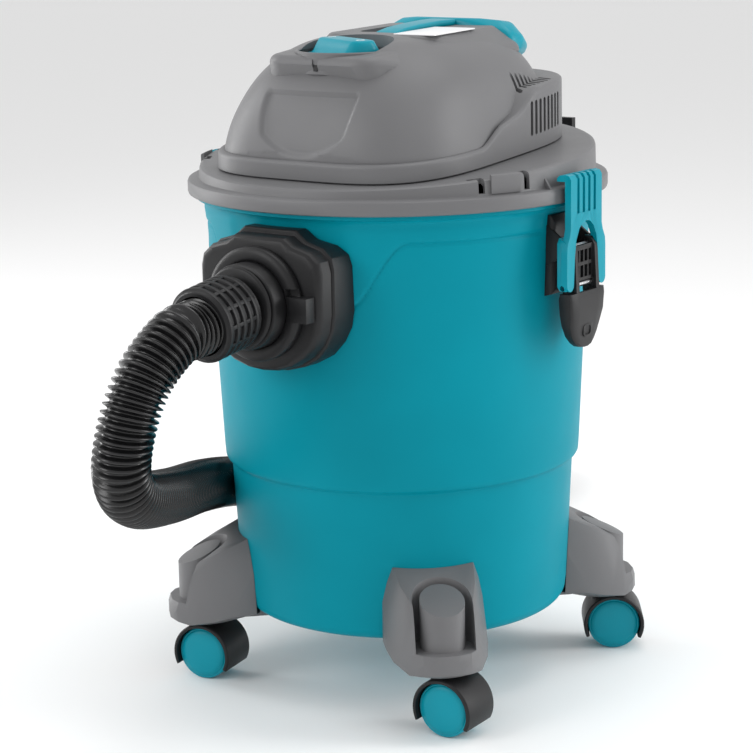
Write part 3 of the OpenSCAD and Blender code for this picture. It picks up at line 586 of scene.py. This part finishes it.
def section_at(h):
    """Section values at a share of the height, smoothly between the listed ones."""
    i = 0
    while i < len(SECTIONS) - 2 and h > SECTIONS[i + 1][0]:
        i += 1
    before, low, high, after = (SECTIONS[min(max(k, 0), len(SECTIONS) - 1)] for k in (i - 1, i, i + 1, i + 2))
    width = high[0] - low[0]
    t = (h - low[0]) / width
    out = []
    for k in range(1, 5):
        start = (high[k] - before[k]) / (high[0] - before[0]) * width
        end = (after[k] - low[k]) / (after[0] - low[0]) * width
        out.append((2 * t ** 3 - 3 * t ** 2 + 1) * low[k] + (t ** 3 - 2 * t ** 2 + t) * start
                   + (3 * t ** 2 - 2 * t ** 3) * high[k] + (t ** 3 - t ** 2) * end)
    return out


def head_point(angle, a, front, back, e):
    """Point of a section's outline at an angle, in plan."""
    x = a * power(math.cos(angle), 2 / e)
    y = (back - front) / 2 + (back + front) / 2 * power(math.sin(angle), 2 / e)
    return x, y


def skirt_height(t):
    """Height of the upright band at the base: low in front, rising into the vent block round the back."""
    return 14 + 31 * smooth(-7, 8, math.degrees(math.asin(math.sin(t))))


def head_relief(x, y, z):
    """How far the cover's surface stands out: negative on the sunk badge panel in front."""
    width = 36 + 5 * smooth(404, 440, z)
    low, high = 401 + 0.011 * x * x, 447.5
    panel = smooth(0, 3.4, width - abs(x)) * smooth(0, 3.6, z - low) * smooth(0, 3.6, high - z)
    return -2.8 * panel if y < -60 else 0


def head_row(height_of, inset):
    """One ring of the cover; height_of(t) gives its height over the deck and inset pulls it in."""
    row = []
    for k in range(HEAD_SIDES):
        t = 2 * math.pi * k / HEAD_SIDES
        x, y = head_point(t, HEAD_A - inset, HEAD_FRONT - inset, HEAD_BACK - inset, 3.6)
        row.append((x, y, deck_height(y) + height_of(t)))
    return row


def dome_row(share, wall, base):
    """One ring of the dome: share runs from its foot to its top, wall is taken off for the inside."""
    row = []
    for k in range(HEAD_SIDES):
        t = 2 * math.pi * k / HEAD_SIDES
        bx, by = head_point(t, HEAD_A, HEAD_FRONT, HEAD_BACK, 3.6)
        low = deck_height(by) + base(t)
        z = low + (COVER_TOP - wall - low) * math.sin(share * math.pi / 2) ** 1.05
        h = min(max((z + wall - DECK_Z) / (COVER_TOP - DECK_Z), 0), 1)
        a, front, back, e = section_at(h)
        x, y = head_point(t, a - wall, front - wall, back - wall, e)
        limit = 3.4 + wall + 1.0 * (1 - share)
        mx, my = head_point(t, HEAD_A - limit, HEAD_FRONT - limit, HEAD_BACK - limit, 3.6)
        if x * x + y * y > mx * mx + my * my:
            x, y = mx, my
        row.append((x, y, z))
    return row


def shrunk(row, share, z):
    """A ring drawn in towards its own middle."""
    middle = (min(p[1] for p in row) + max(p[1] for p in row)) / 2
    return [(p[0] * share, middle + (p[1] - middle) * share, z) for p in row]


HEAD_SIDES = 480
HEAD_WALL = 5


def make_shell():
    """Closed skin of the cover: up the inside, then up the outside."""
    shares = (1, 0.93, 0.8, 0.65, 0.5, 0.35, 0.2, 0.08, 0)
    inner = [dome_row(share, HEAD_WALL, lambda t: 0.5) for share in shares]
    top = inner[0]
    rows = [shrunk(top, share, COVER_TOP - HEAD_WALL) for share in (0.2, 0.6)] + inner
    rows.append(head_row(lambda t: 0.5, 1.2))
    rows.append(head_row(lambda t: 1.0, 0.3))
    for i in range(9):
        rows.append(head_row(lambda t: 1.4 + (skirt_height(t) - 3.9) * i / 8, 0.02 * i))
    for inset, drop in ((0.4, 1.6), (1.1, 0.8), (2.2, 0.25), (3.3, 0.05)):
        rows.append(head_row(lambda t: skirt_height(t) - drop, inset))
    rows += [dome_row(i / 80, 0, skirt_height) for i in range(81)]
    top = rows[-1]
    rows += [shrunk(top, share, COVER_TOP + 1.2 * (1 - share * share)) for share in (0.8, 0.6, 0.4, 0.2)]
    shell = grid("head_shell", rows)
    shell.data.update()
    normals = [v.normal.copy() for v in shell.data.vertices]
    first_outer = HEAD_SIDES * (len(inner) + 4)
    for i, v in enumerate(shell.data.vertices):
        if i >= first_outer:
            v.co += normals[i] * head_relief(*(v.co / MM)) * MM
    return shell


def rounded_slab(name, corners):
    """Convex slab around (x, y, z, radius, edge) corners on both sides, its upper edge rounded by edge."""
    points = []
    for x, y, z, r, edge in corners:
        for side in (1, -1):
            for k in range(6):
                a = math.radians(18 * k)
                radius, height = r - edge + edge * math.sin(a), z - edge + edge * math.cos(a)
                points += ring_points(radius, height, 40, side * x, y)
    return hull(name, points)


def make_brow():
    """Raised cap of the cover: a pad under the knob, and behind it the plateau of label and carry bar."""
    pad = rounded_slab("pad", [(31, -80, KNOB_Z - 0.4, 18, 6), (34, -76, 459.5, 17, 6), (33, -20, 476, 18, 6),
                               (54, -30, 459.5, 18, 7), (58, 46, 462, 18, 7)])
    plateau = rounded_slab("plateau", [(31, -8, 480.4, 20, 4), (33, 56, 482, 16, 4), (50, 0, 470, 20, 8),
                                       (48, 60, 472, 18, 8)])
    return [pad, plateau]


def vent_cutters():
    """Slots of the vent block: long ones in its wall, short ones over its shoulder, more across the back."""
    out = []
    for i in range(8):
        y = 22 + 6.2 * i
        for side in (1, -1):
            slot = prism("vent", round_rect(25, 3.3, 1.6), 84, 130)
            place(slot, turn("Y", 90))
            place(slot, move(0, y, deck_height(y) + 24))
            out.append(place(slot, Matrix.Scale(side, 4, Vector((1, 0, 0)))))
            short = prism("vent_short", round_rect(11, 3.3, 1.6), 38, 70)
            place(short, move(90 - 0.0011 * i ** 4, y, deck_height(y)))
            out.append(place(short, Matrix.Scale(side, 4, Vector((1, 0, 0)))))
    for i in range(-6, 7):
        if abs(i) > 1:
            slot = prism("vent_back", round_rect(2.7, 25, 1.3), 84, 130)
            place(slot, turn("X", -90))
            out.append(place(slot, move(i * 7, 0, deck_height(110) + 21)))
    return out


def make_head():
    """Sculpted motor cover with its brow, badge panel, vents, finger pocket and the knob's well."""
    head = make_shell()
    boolean(head, make_brow(), "UNION")
    cutters = vent_cutters()
    cutters.append(place(cylinder("well", 34, KNOB_Z - 10, KNOB_Z + 40, 96), move(0, KNOB_Y, 0)))
    pocket = prism("pocket", round_rect(44, 70, 8, 6, -7.5, 27), 454, 500)
    cutters.append(pocket)
    cutters.append(hull("pointer", [(x * w, y, z) for x in (1, -1) for w, y, z in (
        (3.0, -90, 475), (3.0, -102, 475), (2.8, -99, 470), (1.6, -99, 459.5), (1.6, -102, 459),
        (3.0, -90, 468))]))
    boolean(head, cutters)
    lining = prism("lining", round_rect(50, 76, 10, 6, -7.5, 27), 451, 474)
    boolean(lining, [prism("hollow", round_rect(44, 70, 8, 6, -7.5, 27), 454, 500)])
    cup = spun("well_cup", [(8, KNOB_Z - 13), (36.5, KNOB_Z - 13), (36.5, KNOB_Z + 1.2), (35.8, KNOB_Z + 2.0),
                            (34.8, KNOB_Z + 2.0), (34, KNOB_Z + 1.2), (34, KNOB_Z - 10), (8, KNOB_Z - 10)],
               n=96, loop=True)
    place(cup, move(0, KNOB_Y, 0))
    join(head, [cup, lining])
    finish_piece(head, GRAY, "head_body", "head_cover", angle=32)
    pointer = hull("pointer_fill", [(x * w, y, z) for x in (1, -1) for w, y, z in (
        (2.9, -91, 469.4), (2.9, -95.5, 469.4), (1.5, -97.4, 460), (1.5, -91, 460))])
    finish_piece(pointer, BLACK, "head_body")


make_head()


# ------------------------------------------------------------------ handle, knob and label
def make_handle():
    """Flat carry bar along the middle and a wide block that wraps over the back."""
    rows = []
    for y, z, w, h in ((-22, 474, 18, 3), (-18, 478.5, 19, 4.5), (-10, 481.8, 20, 5.2), (2, 483.8, 20, 5.2),
                       (20, 485.2, 20, 5.2), (45, 486.2, 21, 5.2), (62, 486.2, 24, 5.4), (72, 485.4, 32, 5.4),
                       (80, 483.5, 40, 5)):
        rows.append([(x, y, z - h / 2 + v) for x, v in round_rect(w, h, 2.2, 5)])
    bar = grid("carry_bar", rows)
    block = hull("block", [(x * side, y, z) for side in (1, -1) for x, y, z in (
        (14, 62, 486.8), (30, 68, 486.8), (44, 72, 485.5), (46, 86, 483.5), (58, 66, 477), (60, 80, 474),
        (63, 74, 466), (57, 92, 466), (61, 60, 459), (54, 62, 455), (54, 90, 458), (40, 104, 462),
        (38, 98, 476), (20, 111, 460), (20, 104, 476), (20, 96, 484))])
    bevel(block, 3.2, 4, 12)
    boolean(bar, [block], "UNION")
    finish_piece(bar, TEAL_GLOSS, "head_body", "handle", angle=38)


KNOB_TURN = math.radians(-25)      # where the grip bar points, as on a switched-off machine


def make_knob():
    """Rotary knob: a low drum with a raised grip bar that carries the on and off marks."""
    base = spun("knob_base", [(0, 0), (29, 0), (KNOB_R - 0.4, 0.6), (KNOB_R, 1.6), (KNOB_R, 7.5),
                              (KNOB_R - 0.5, 8.6), (KNOB_R - 1.6, 9), (0, 9)], n=96)
    grip = grid("knob_grip", [[(x, y, z) for x, y in round_rect(w, d, r, 6)] for w, d, z, r in (
        (59, 33, 8.4, 9), (58.5, 28, 11, 8), (58, 22.5, 15, 7), (57.4, 19.5, 17.4, 6.4),
        (56, 17.6, 18.5, 5.8),
        (53.6, 15.4, 18.9, 5))])
    place(grip, Matrix.Rotation(KNOB_TURN, 4, "Z"))
    stem = cylinder("knob_stem", 6, -12, 1)
    knob = join(base, [grip, stem])
    place(knob, move(0, KNOB_Y, KNOB_Z - 9.6))
    finish_piece(knob, TEAL_GLOSS, "knob_body", "power_knob", angle=40)
    mark_one = prism("mark_on", round_rect(1.6, 6, 0.6, 4), 0, 0.25)
    on_grip = move(0, KNOB_Y, KNOB_Z - 9.6 + 18.8) @ Matrix.Rotation(KNOB_TURN, 4, "Z")
    place(mark_one, on_grip @ move(-21, 0, 0))
    ring = spun("mark_off", [(2.1, 0), (3.1, 0), (3.1, 0.25), (2.1, 0.25)], n=40, loop=True)
    place(ring, on_grip @ move(21, 0, 0))
    for mark in (mark_one, ring):
        finish_piece(mark, PAINT, "knob_body")


def make_label():
    """Blank plate beside the carry bar."""
    plate = prism("blank_label", round_rect(36, 54, 1.5, 4), 0, 0.8)
    bevel(plate, 0.25, 2)
    place(plate, turn("X", 1.4))
    place(plate, move(31.5, 5, 481.2))
    finish_piece(plate, WHITE, "head_body", "label_plate")


make_handle()
make_knob()
make_label()


# ------------------------------------------------------------------ latches
def make_latch(side):
    """Teal hook with four ribs, black lever with its window and thumb tab, dark bracket behind."""
    name = "right" if side > 0 else "left"
    pivot_z, hook_z = RIM_Z - 32, RIM_Z - 59
    pivot_x, hook_x = 155.5, 157.5
    half = 21

    def turned(obj):
        return place(obj, Matrix.Scale(side, 4, Vector((1, 0, 0)))) if side < 0 else obj

    # hook: its face seen from outside is (y, z); the legs flare out below the rim and end in round feet
    leg_y, foot_r = -half - 0.6, 4.6
    left = [(-half, 366), (-half, 350), (-half - 1.5, 345), (leg_y - foot_r + 0.6, 339),
            (leg_y - foot_r, 333)]
    left += [(leg_y + foot_r * math.cos(math.radians(a)), hook_z + 2 + foot_r * math.sin(math.radians(a)))
             for a in range(180, 361, 30)]
    left += [(-15.6, 331), (-13.6, 342), (-9.5, 349.5), (-5, 353), (0, 354)]
    outline = left + [(-y, z) for y, z in reversed(left[:-1])]
    hook = prism("hook", outline, 157.3, 162.2)
    place(hook, FACE_OUT)
    upper = hull("hook_upper", [(x, y, z) for y in (-half, half) for x, z in
                                ((157.3, 362), (162.2, 362), (162.2, 384.5), (160.5, 387.3), (157.3, 388),
                                 (157.3, 383))])
    lip = hull("hook_lip", [(x, y, z) for y in (-half + 0.5, half - 0.5) for x, z in
                            ((158, 388), (158, 383), (150.5, 383), (150.5, 385.2), (152.5, 387.2))])
    legs = [hull("leg", [(x, s * y, z) for y in (-leg_y - 3.4, -leg_y + 3.6) for x, z in (
        (153.5, hook_z + 1), (155.5, hook_z - 2), (161, hook_z - 2), (161, 340), (155, 344), (153.5, 340))])
        for s in (1, -1)]
    boolean(hook, [upper, lip] + legs, "UNION")
    hook_pin = cylinder("hole", 2.0, -30, 30, 32)
    place(hook_pin, turn("X", 90))
    boolean(hook, [place(hook_pin, move(hook_x, 0, hook_z))])
    grooves = []
    for i in (-1.5, -0.5, 0.5, 1.5):
        groove = prism("groove", round_rect(3.4, 33, 1.2, 4), 160.9, 164)
        place(groove, FACE_OUT)
        grooves.append(place(groove, move(0, i * 7.4, 376.5)))
        over = hull("groove_over", [(x, i * 7.4 + w, z) for w in (-1.7, 1.7) for x, z in
                                    ((154, 387.1), (163, 387.1), (163, 390), (154, 390), (161, 384.5),
                                     (163, 384.5))])
        grooves.append(over)
    boolean(hook, grooves)
    bevel(hook, 0.5, 2, 35)
    finish_piece(turned(hook), TEAL_GLOSS, f"hook_{name}", f"latch_hook_{name}", angle=40)
    hook.name = f"latch_hook_moulding_{name}"

    # lever
    def plate(points, y0, y1):
        return hull("part", [(x, y, z) for y in (y0, y1) for x, z in points])

    side_points = [(pivot_x - 5.5, pivot_z + 2), (pivot_x - 2, pivot_z + 5.8), (pivot_x + 3, pivot_z + 5.2),
                   (pivot_x + 6.5, pivot_z), (hook_x + 6.5, hook_z - 12), (hook_x - 5, hook_z - 12),
                   (hook_x - 5.5, hook_z)]
    cheeks = [plate(side_points, 11.5, 15.5), plate(side_points, -15.5, -11.5)]
    rows = []
    for drop, w, inside, outside in ((4.5, 23.6, -3, 6.4), (9, 23.4, -4, 7), (20, 22.2, -4, 6.8),
            (28, 20.4, -3.5, 5.4),
                                     (36, 17.2, -2.5, 4.6), (41, 13.0, -1.5, 4.6), (44, 9.0, -0.5, 4.8),
                                     (45, 5, 0.5, 4.6)):
        x_in, x_out = hook_x + inside, hook_x + outside
        face = [(x_out - 1.6, -w), (x_out - 0.3, -w + 2.4), (x_out, -w / 2), (x_out, 0), (x_out, w / 2),
                (x_out - 0.3, w - 2.4), (x_out - 1.6, w)]
        back = [(x_in, y) for y in (w, w / 2, 0, -w / 2)]
        rows.append([(x, y, hook_z - drop) for x, y in [(x_in, -w)] + face + back])
    tab = grid("tab", rows)
    hollow = box("hollow", (hook_x - 12, -19, hook_z - 26), (hook_x + 3.8, 19, hook_z - 2))
    boolean(tab, [hollow])
    bar = box("bar", (hook_x + 1, -15, hook_z - 14), (hook_x + 6, 15, hook_z - 6))
    mark = prism("mark", round_rect(11, 9, 3, 5), 4.2, 5.7)
    boolean(mark, [prism("inside", round_rect(8.4, 6.4, 2, 5), 4, 6)])
    place(mark, FACE_OUT)
    place(mark, move(hook_x, 0, hook_z - 33))
    lattice = box("lattice", (hook_x - 0.5, -12.5, hook_z + 2.6), (hook_x + 2.6, 12.5, pivot_z + 1))
    windows = [box("pane", (hook_x - 5, y, z), (hook_x + 5, y + 4.2, z + 8.5))
               for z in (hook_z + 5, hook_z + 16) for y in (-10.6, -4.9, 0.7, 6.4)]
    boolean(lattice, windows)
    lever = boolean(tab, [bar, mark, lattice] + cheeks, "UNION")
    pins = []
    for px, pz, r in ((pivot_x, pivot_z, 2.05), (hook_x, hook_z, 2.0)):
        pin = cylinder("hole", r, -30, 30, 32)
        place(pin, turn("X", 90))
        pins.append(place(pin, move(px, 0, pz)))
    boolean(lever, pins)
    bevel(lever, 0.7, 2, 35)
    finish_piece(turned(lever), BLACK, f"lever_{name}", f"latch_lever_{name}", angle=40)
    lever.name = f"latch_lever_moulding_{name}"

    # bracket: a low plate on the tank with two ears that hold the lever's pin
    plate_points = [(137, 18, 300), (144, 18, 302), (146.5, 16, 306), (146.5, 16, 352), (144, 18, 358),
                    (137, 18, 360)]
    bracket = hull("bracket", [(x, s * y, z) for s in (1, -1) for x, y, z in plate_points])
    ears = [hull("ear", [(x, s * y, z) for y in (16.1, 18.6) for x, z in (
        (140, 322), (140, 352), (152, pivot_z - 4), (156, pivot_z - 4.4), (159.4, pivot_z),
        (156, pivot_z + 4.4))])
        for s in (1, -1)]
    boolean(bracket, ears, "UNION")
    wall = grid("wall", [ring_points(tank_radius(z) + 0.2, z, 192) for z in (280, 365)])
    pin_hole = place(cylinder("hole", 2.05, -30, 30, 32), turn("X", 90))
    boolean(bracket, [wall, place(pin_hole, move(pivot_x, 0, pivot_z))])
    bevel(bracket, 0.6, 2, 35)
    finish_piece(turned(bracket), BLACK, "tank_body", f"latch_bracket_{name}", angle=40)
    bracket.name = f"latch_bracket_moulding_{name}"


for latch_side in (1, -1):
    make_latch(latch_side)


# ------------------------------------------------------------------ feet
def make_foot(key):
    """Gray outrigger foot: a faceted shell over the tank's edge, with a slot round the castor's boss."""
    low = 46
    body = hull("foot", [(x, y * s, z) for s in (1, -1) for x, y, z in (
        (112, 38, 57), (112, 36, 100), (118, 30, 114), (112, 22, 116), (126, 38, 56), (134, 37.5, 58),
        (150, 26, 96), (141, 27, 103), (158, 31, 50), (168, 26, low), (176, 18, low + 1), (181, 8, low + 2),
        (150, 34, 50), (167, 19, 90), (170, 10, 91), (177, 17, 56), (181, 7, 57))]
        + ring_points(26, low, 32, SWIVEL_R - 4, 0))
    scallops = []
    for s in (1, -1):
        drum = cylinder("scallop", 46, -30, 30, 96)
        place(drum, turn("X", 90))
        place(drum, move(131, s * 66.5, 44))
        scallops.append(drum)
    boolean(body, scallops)
    slot = cylinder("slot", 21.5, 62, 130, 64)
    place(slot, move(SWIVEL_R, 0, 0))
    open_side = box("open", (SWIVEL_R, -21.5, 62), (SWIVEL_R + 40, 21.5, 130))
    boolean(body, [slot, open_side])
    boss = cylinder("boss", 16, 47, 110, 64)
    place(boss, move(SWIVEL_R, 0, 0))
    slanted = box("above", (-60, -60, 0), (60, 60, 80))
    place(slanted, turn("Y", 24))
    place(slanted, move(SWIVEL_R - 14, 0, 102))
    boolean(boss, [slanted])
    boolean(body, [boss], "UNION")
    tongue = box("tongue", (86, -26, low + 4), (126, 26, TANK_Z - 0.5))
    boolean(body, [tongue], "UNION")
    inner = grid("inner", [ring_points(tank_radius(z) + 0.3, z, 192) for z in (TANK_Z - 0.3, 90, 140)])
    stem = place(cylinder("stem", 4.05, 40, 79, 32), move(SWIVEL_R, 0, 0))
    place(body, turn_to(FOOT_ANGLES[key]))
    place(stem, turn_to(FOOT_ANGLES[key]))
    boolean(body, [inner, stem])
    bevel(body, 0.9, 3, 28)
    finish_piece(body, GRAY, "tank_body", FOOT_NODES[key], angle=30)
    body.name = FOOT_NODES[key] + "_moulding"


# ------------------------------------------------------------------ castors
def castor_matrix(key):
    """From the castor's own frame, wheel face along +X and trail along +Y, to the row frame."""
    a = math.radians(FOOT_ANGLES[key])
    spot = move(SWIVEL_R * math.sin(a), -SWIVEL_R * math.cos(a), 0)
    return spot @ turn_to(CASTOR_TURN[key])


def make_castor(key):
    """Hood that arches over twin wheels, and the wheels with their domed faces."""
    side = turn("Y", 90)
    at_axle = move(0, TRAIL, WHEEL_R) @ side
    half = 17.5
    rows = []
    start, stop, steps = -28, 205, 56
    for i in range(steps + 1):
        a = math.radians(start + (stop - start) * i / steps)
        outline = [(half, 20.7), (half, 22.6), (half - 0.9, 23.4), (0, 23.4), (-half + 0.9, 23.4),
                   (-half, 22.6), (-half, 20.7), (-2, 20.7), (2, 20.7)]
        rows.append([(x, r * math.cos(a) + TRAIL, r * math.sin(a) + WHEEL_R) for x, r in outline])
    hood = grid("hood", rows)
    arc = [math.radians(a) for a in range(-25, 206, 10)]
    web = prism("web", [(23 * math.cos(a), 23 * math.sin(a)) for a in arc], -2.1, 2.1)
    place(web, FACE_OUT)
    place(web, move(0, TRAIL, WHEEL_R))
    neck = cylinder("neck", 9, 30, 43, 48)
    wheel_room = []
    for s in (1, -1):
        room = cylinder("room", 20.7, 2.2, 60, 64)
        wheel_room.append(place(room, move(0, TRAIL, WHEEL_R) @ turn("Y", 90 * s)))
    boolean(neck, wheel_room)
    boolean(hood, [web, neck], "UNION")
    axle_hole = place(cylinder("axle_hole", 2.55, -30, 30, 32), at_axle)
    stem_hole = cylinder("stem_hole", 4, 41.2, 60, 32)
    boolean(hood, [axle_hole, stem_hole])
    bevel(hood, 0.4, 2, 35)
    place(hood, castor_matrix(key))
    finish_piece(hood, BLACK, f"castor_{key}", f"castor_hood_{key}", angle=35)
    hood.name = f"castor_hood_moulding_{key}"

    wheels = []
    for s in (1, -1):
        face = ((WHEEL_R, 3.4), (19.7, 2.6), (18.9, 2.1), (18.2, 2.3), (17.4, 1.4), (14, 0.6), (8, 0.15),
                (0.01, 0))
        profile = [(2.4, 0), (18.6, 0), (19.6, 0.3), (WHEEL_R, 1.2)] + [(r, WHEEL_W - z) for r, z in face]
        wheel = spun("wheel", profile, n=96)
        place(wheel, move(0, 0, 2.6))
        place(wheel, move(0, TRAIL, WHEEL_R) @ turn("Y", 90 * s))
        wheels.append(wheel)
    axle = place(cylinder("axle", 2.5, -3, 3, 32), at_axle)
    pair = join(wheels[0], [wheels[1], axle])
    place(pair, castor_matrix(key))
    finish_piece(pair, TEAL_GLOSS, f"wheels_{key}", f"castor_wheels_{key}", angle=45)
    pair.name = f"castor_wheel_pair_{key}"


for corner in FOOT_ANGLES:
    make_foot(corner)
    make_castor(corner)


# ------------------------------------------------------------------ inlet and hose end
TO_FRONT = turn("X", 90)     # carries +Z to -Y, +Y to +Z


def make_inlet_housing():
    """Shield-shaped socket: a back flange that hugs the tank and a raised front with cut corners."""
    def outline(grow, tab):
        right = [(0, 47 + tab + grow), (22 + grow * 0.5, 47 + tab + grow), (30 + grow, 42 + grow),
                 (44 + grow, 38 + grow), (51 + grow, 32 + grow), (53 + grow, 24 + grow), (53 + grow, -6),
                 (51 + grow, -18), (46 + grow, -28 - grow * 0.5),
                 (38 + grow, -37 - grow), (26 + grow * 0.6, -44 - grow), (12, -48 - grow), (0, -49 - grow)]
        return right + [(-x, y) for x, y in reversed(right[1:-1])]

    depth = HOUSING_FACE
    front = grid("front", [[(x, y, z) for x, y in outline(g, t)] for z, g, t in (
        (110, -0.5, 0), (depth - 6, -0.5, 0), (depth - 2.5, -1.5, 0), (depth - 0.8, -3, 0),
        (depth, -5.5, 0))])
    flange = grid("flange", [[(x, y, z) for x, y in outline(g, 2)] for z, g in (
        (110, 1.2), (depth - 16, 1.2), (depth - 14.5, 0.2))])
    boolean(front, [flange], "UNION")
    place(front, TO_FRONT)
    place(front, move(0, 0, INLET_Z))
    inner = grid("inner", [ring_points(tank_radius(z) + 1.5, z, 192) for z in (200, 365)])
    port = place(cylinder("port", 27, 0, 220, 64), TO_FRONT)
    place(port, move(0, 0, INLET_Z))
    boolean(front, [inner, port])
    bevel(front, 0.8, 3, 28)
    finish_piece(front, BLACK, "tank_body", "inlet_housing", angle=30)
    front.name = "inlet_housing_moulding"


def make_hose_end():
    """Bayonet ring with its lug, smooth cuff, and the ribbed sleeve that grips the hose."""
    ring = spun("ring", [(30.6, 0), (38.5, 0), (40, 1), (40, 5.5), (39, 7), (36, 8), (32.2, 8.2),
            (30.6, 7.4)], n=128, loop=True)
    lug = box("lug", (35, -8.5, 0.4), (49, 8.5, 9.8))
    notch = box("notch", (30, 8.5, 3.0), (50, 14, 20))
    boolean(ring, [notch])
    boolean(ring, [lug], "UNION")
    bevel(ring, 0.7, 2, 40)
    place(ring, move(0, 0, HOUSING_FACE))
    place(ring, TO_FRONT)
    place(ring, move(0, 0, INLET_Z))
    finish_piece(ring, BLACK, "tank_body", "inlet_collar", angle=40)
    ring.name = "inlet_bayonet_ring"

    cuff = spun("cuff", [(17.5, -24), (26.4, -24), (26.7, -22), (26.7, 1), (30.3, 1.2), (30.1, 18),
            (29.7, 19.2),
                         (28.6, 19.8), (27.4, 20), (27.2, 21), (28.2, 21.4), (28.6, 22.2), (28.2, 23.3),
                         (27, 24), (17.5, 24)], n=128, loop=True)
    place(cuff, move(0, 0, HOUSING_FACE))
    place(cuff, TO_FRONT)
    place(cuff, move(0, 0, INLET_Z))
    finish_piece(cuff, BLACK, "tank_body", "hose_cuff", angle=40)
    cuff.name = "hose_cuff_moulding"

    profile = [(21, 3.6), (24.5, 3.6)]
    for i in range(5):
        z = 8 + i * 7
        profile += [(24.5, z - 1.2), (26.2, z - 0.6), (26.5, z + 0.8), (26.2, z + 2.2), (24.5, z + 2.8)]
    profile += [(24.2, 39), (23.4, 40), (21, 40)]
    sleeve = spun("sleeve", profile, n=128, loop=True)
    bars = []
    for k in range(12):
        bar = box("bar", (24, -1.4, 6), (26, 1.4, 38))
        bevel(bar, 0.4, 2)
        bars.append(place(bar, Matrix.Rotation(2 * math.pi * k / 12, 4, "Z")))
    join(sleeve, bars)
    place(sleeve, Matrix.Rotation(math.atan(0.14), 4, "X") @ TO_FRONT)
    place(sleeve, move(0, SLEEVE_Y, INLET_Z))
    finish_piece(sleeve, BLACK, "tank_body", "hose_sleeve", angle=40)
    sleeve.name = "hose_sleeve_moulding"
    return ring, cuff, sleeve


def grip_matrix():
    """From the grip's own frame, along +Z, to the end of the hose."""
    end = Vector(HOSE_ROUTE[-1])
    ahead = (end - Vector(HOSE_ROUTE[-2])).normalized()
    facing = Matrix.Rotation(math.atan2(ahead.y, ahead.x), 4, "Z") @ turn("Y", 90)
    return move(*(end + ahead * 0.05)) @ facing


def make_grip():
    """Hand grip with soft grooves, a spigot for tools and the turning air regulator."""
    ring_x, length = 71, 105
    profile = [(16, 0), (19.4, 0), (20.6, 1), (21, 2.4)]
    for i in range(7):
        z = 10 + i * 7.5
        profile += [(21, z - 1.6), (20.2, z - 0.8), (20.0, z), (20.2, z + 0.8), (21, z + 1.6)]
    profile += [(21, ring_x - 2), (20.2, ring_x - 0.6), (18.5, ring_x - 0.5), (18.5, ring_x + 24.5),
                (20.4, ring_x + 24.6), (21, ring_x + 26), (21, length - 2), (20, length - 0.5),
                (18.5, length), (18.5, length + 37),
                (18.0, length + 39), (17.4, length + 40), (16, length + 40)]
    grip = spun("grip", profile, n=96, loop=True)
    port = box("port", (-22, -5, ring_x + 8), (-12, 5, ring_x + 17))
    boolean(grip, [port])
    place(grip, grip_matrix())
    finish_piece(grip, BLACK, "tank_body", "hand_grip", angle=40)
    grip.name = "hand_grip_moulding"
    slide = spun("slide", [(18.55, 0), (21.6, 0), (22.5, 0.8), (22.5, 23.2), (21.6, 24), (18.55, 24)], n=96,
                 loop=True)
    teeth = []
    for k in range(15):
        tooth = box("tooth", (21.5, -1.5, 2), (23.4, 1.5, 22))
        bevel(tooth, 0.5, 2)
        teeth.append(place(tooth, turn("Z", 24 * k + 12)))
    window = box("window", (-30, -5, 8), (-15, 5, 17))
    place(window, turn("Z", 60))
    boolean(slide, [window])
    join(slide, teeth)
    place(slide, move(0, 0, ring_x))
    place(slide, grip_matrix())
    finish_piece(slide, BLACK, "air_regulator_body", "air_regulator", angle=40)
    slide.name = "air_regulator_ring"
    return grip, slide


make_inlet_housing()
bayonet, cuff, sleeve = make_hose_end()
grip, regulator = make_grip()


# ------------------------------------------------------------------ CAD nodes that stay
for part in frame["record"]["subparts"]:
    node = nodes[part["node"]]
    node.data.materials.clear()
    node.data.materials.append(SLOT_MATERIALS[part["material_slot"]])


# ------------------------------------------------------------------ floor and light
FLOOR_REACH = 9000


def make_stage():
    """Plain pale floor that runs into the background, under soft light."""
    corners = [(x * FLOOR_REACH, y * FLOOR_REACH, -0.2) for x, y in ((-1, -1), (1, -1), (1, 1), (-1, 1))]
    floor = from_lists("floor", corners, [(0, 1, 2, 3)])
    mat = bpy.data.materials.new("floor")
    mat.use_nodes = True
    shader = mat.node_tree.nodes["Principled BSDF"]
    shader.inputs["Base Color"].default_value = (0.92, 0.92, 0.92, 1)
    shader.inputs["Roughness"].default_value = 0.9
    floor.data.materials.append(mat)

    world = bpy.data.worlds.new("world")
    bpy.context.scene.world = world
    world.use_nodes = True
    world.node_tree.nodes["Background"].inputs["Color"].default_value = (1, 1, 1, 1)
    world.node_tree.nodes["Background"].inputs["Strength"].default_value = 0.8

    def area(name, spot, target, size, watts):
        data = bpy.data.lights.new(name, "AREA")
        data.shape = "RECTANGLE"
        data.size, data.size_y = size
        data.energy = watts
        light = bpy.data.objects.new(name, data)
        aim = (Vector(spot) - Vector(target)).to_track_quat("Z", "Y")
        light.matrix_world = Matrix.Translation(Vector(spot)) @ aim.to_matrix().to_4x4()
        bpy.context.scene.collection.objects.link(light)

    area("key", (-0.9, -1.9, 1.4), (0, 0, 0.3), (0.9, 1.2), 15)
    area("left", (-2.0, -0.2, 0.7), (0, 0, 0.3), (0.5, 1.6), 17)
    area("right", (1.5, 0.9, 0.8), (0, 0, 0.3), (0.5, 1.6), 17)
    area("top", (0.2, 0.5, 2.2), (0, 0, 0.3), (1.2, 1.2), 10)


make_stage()
bpy.context.scene.view_settings.view_transform = "Standard"
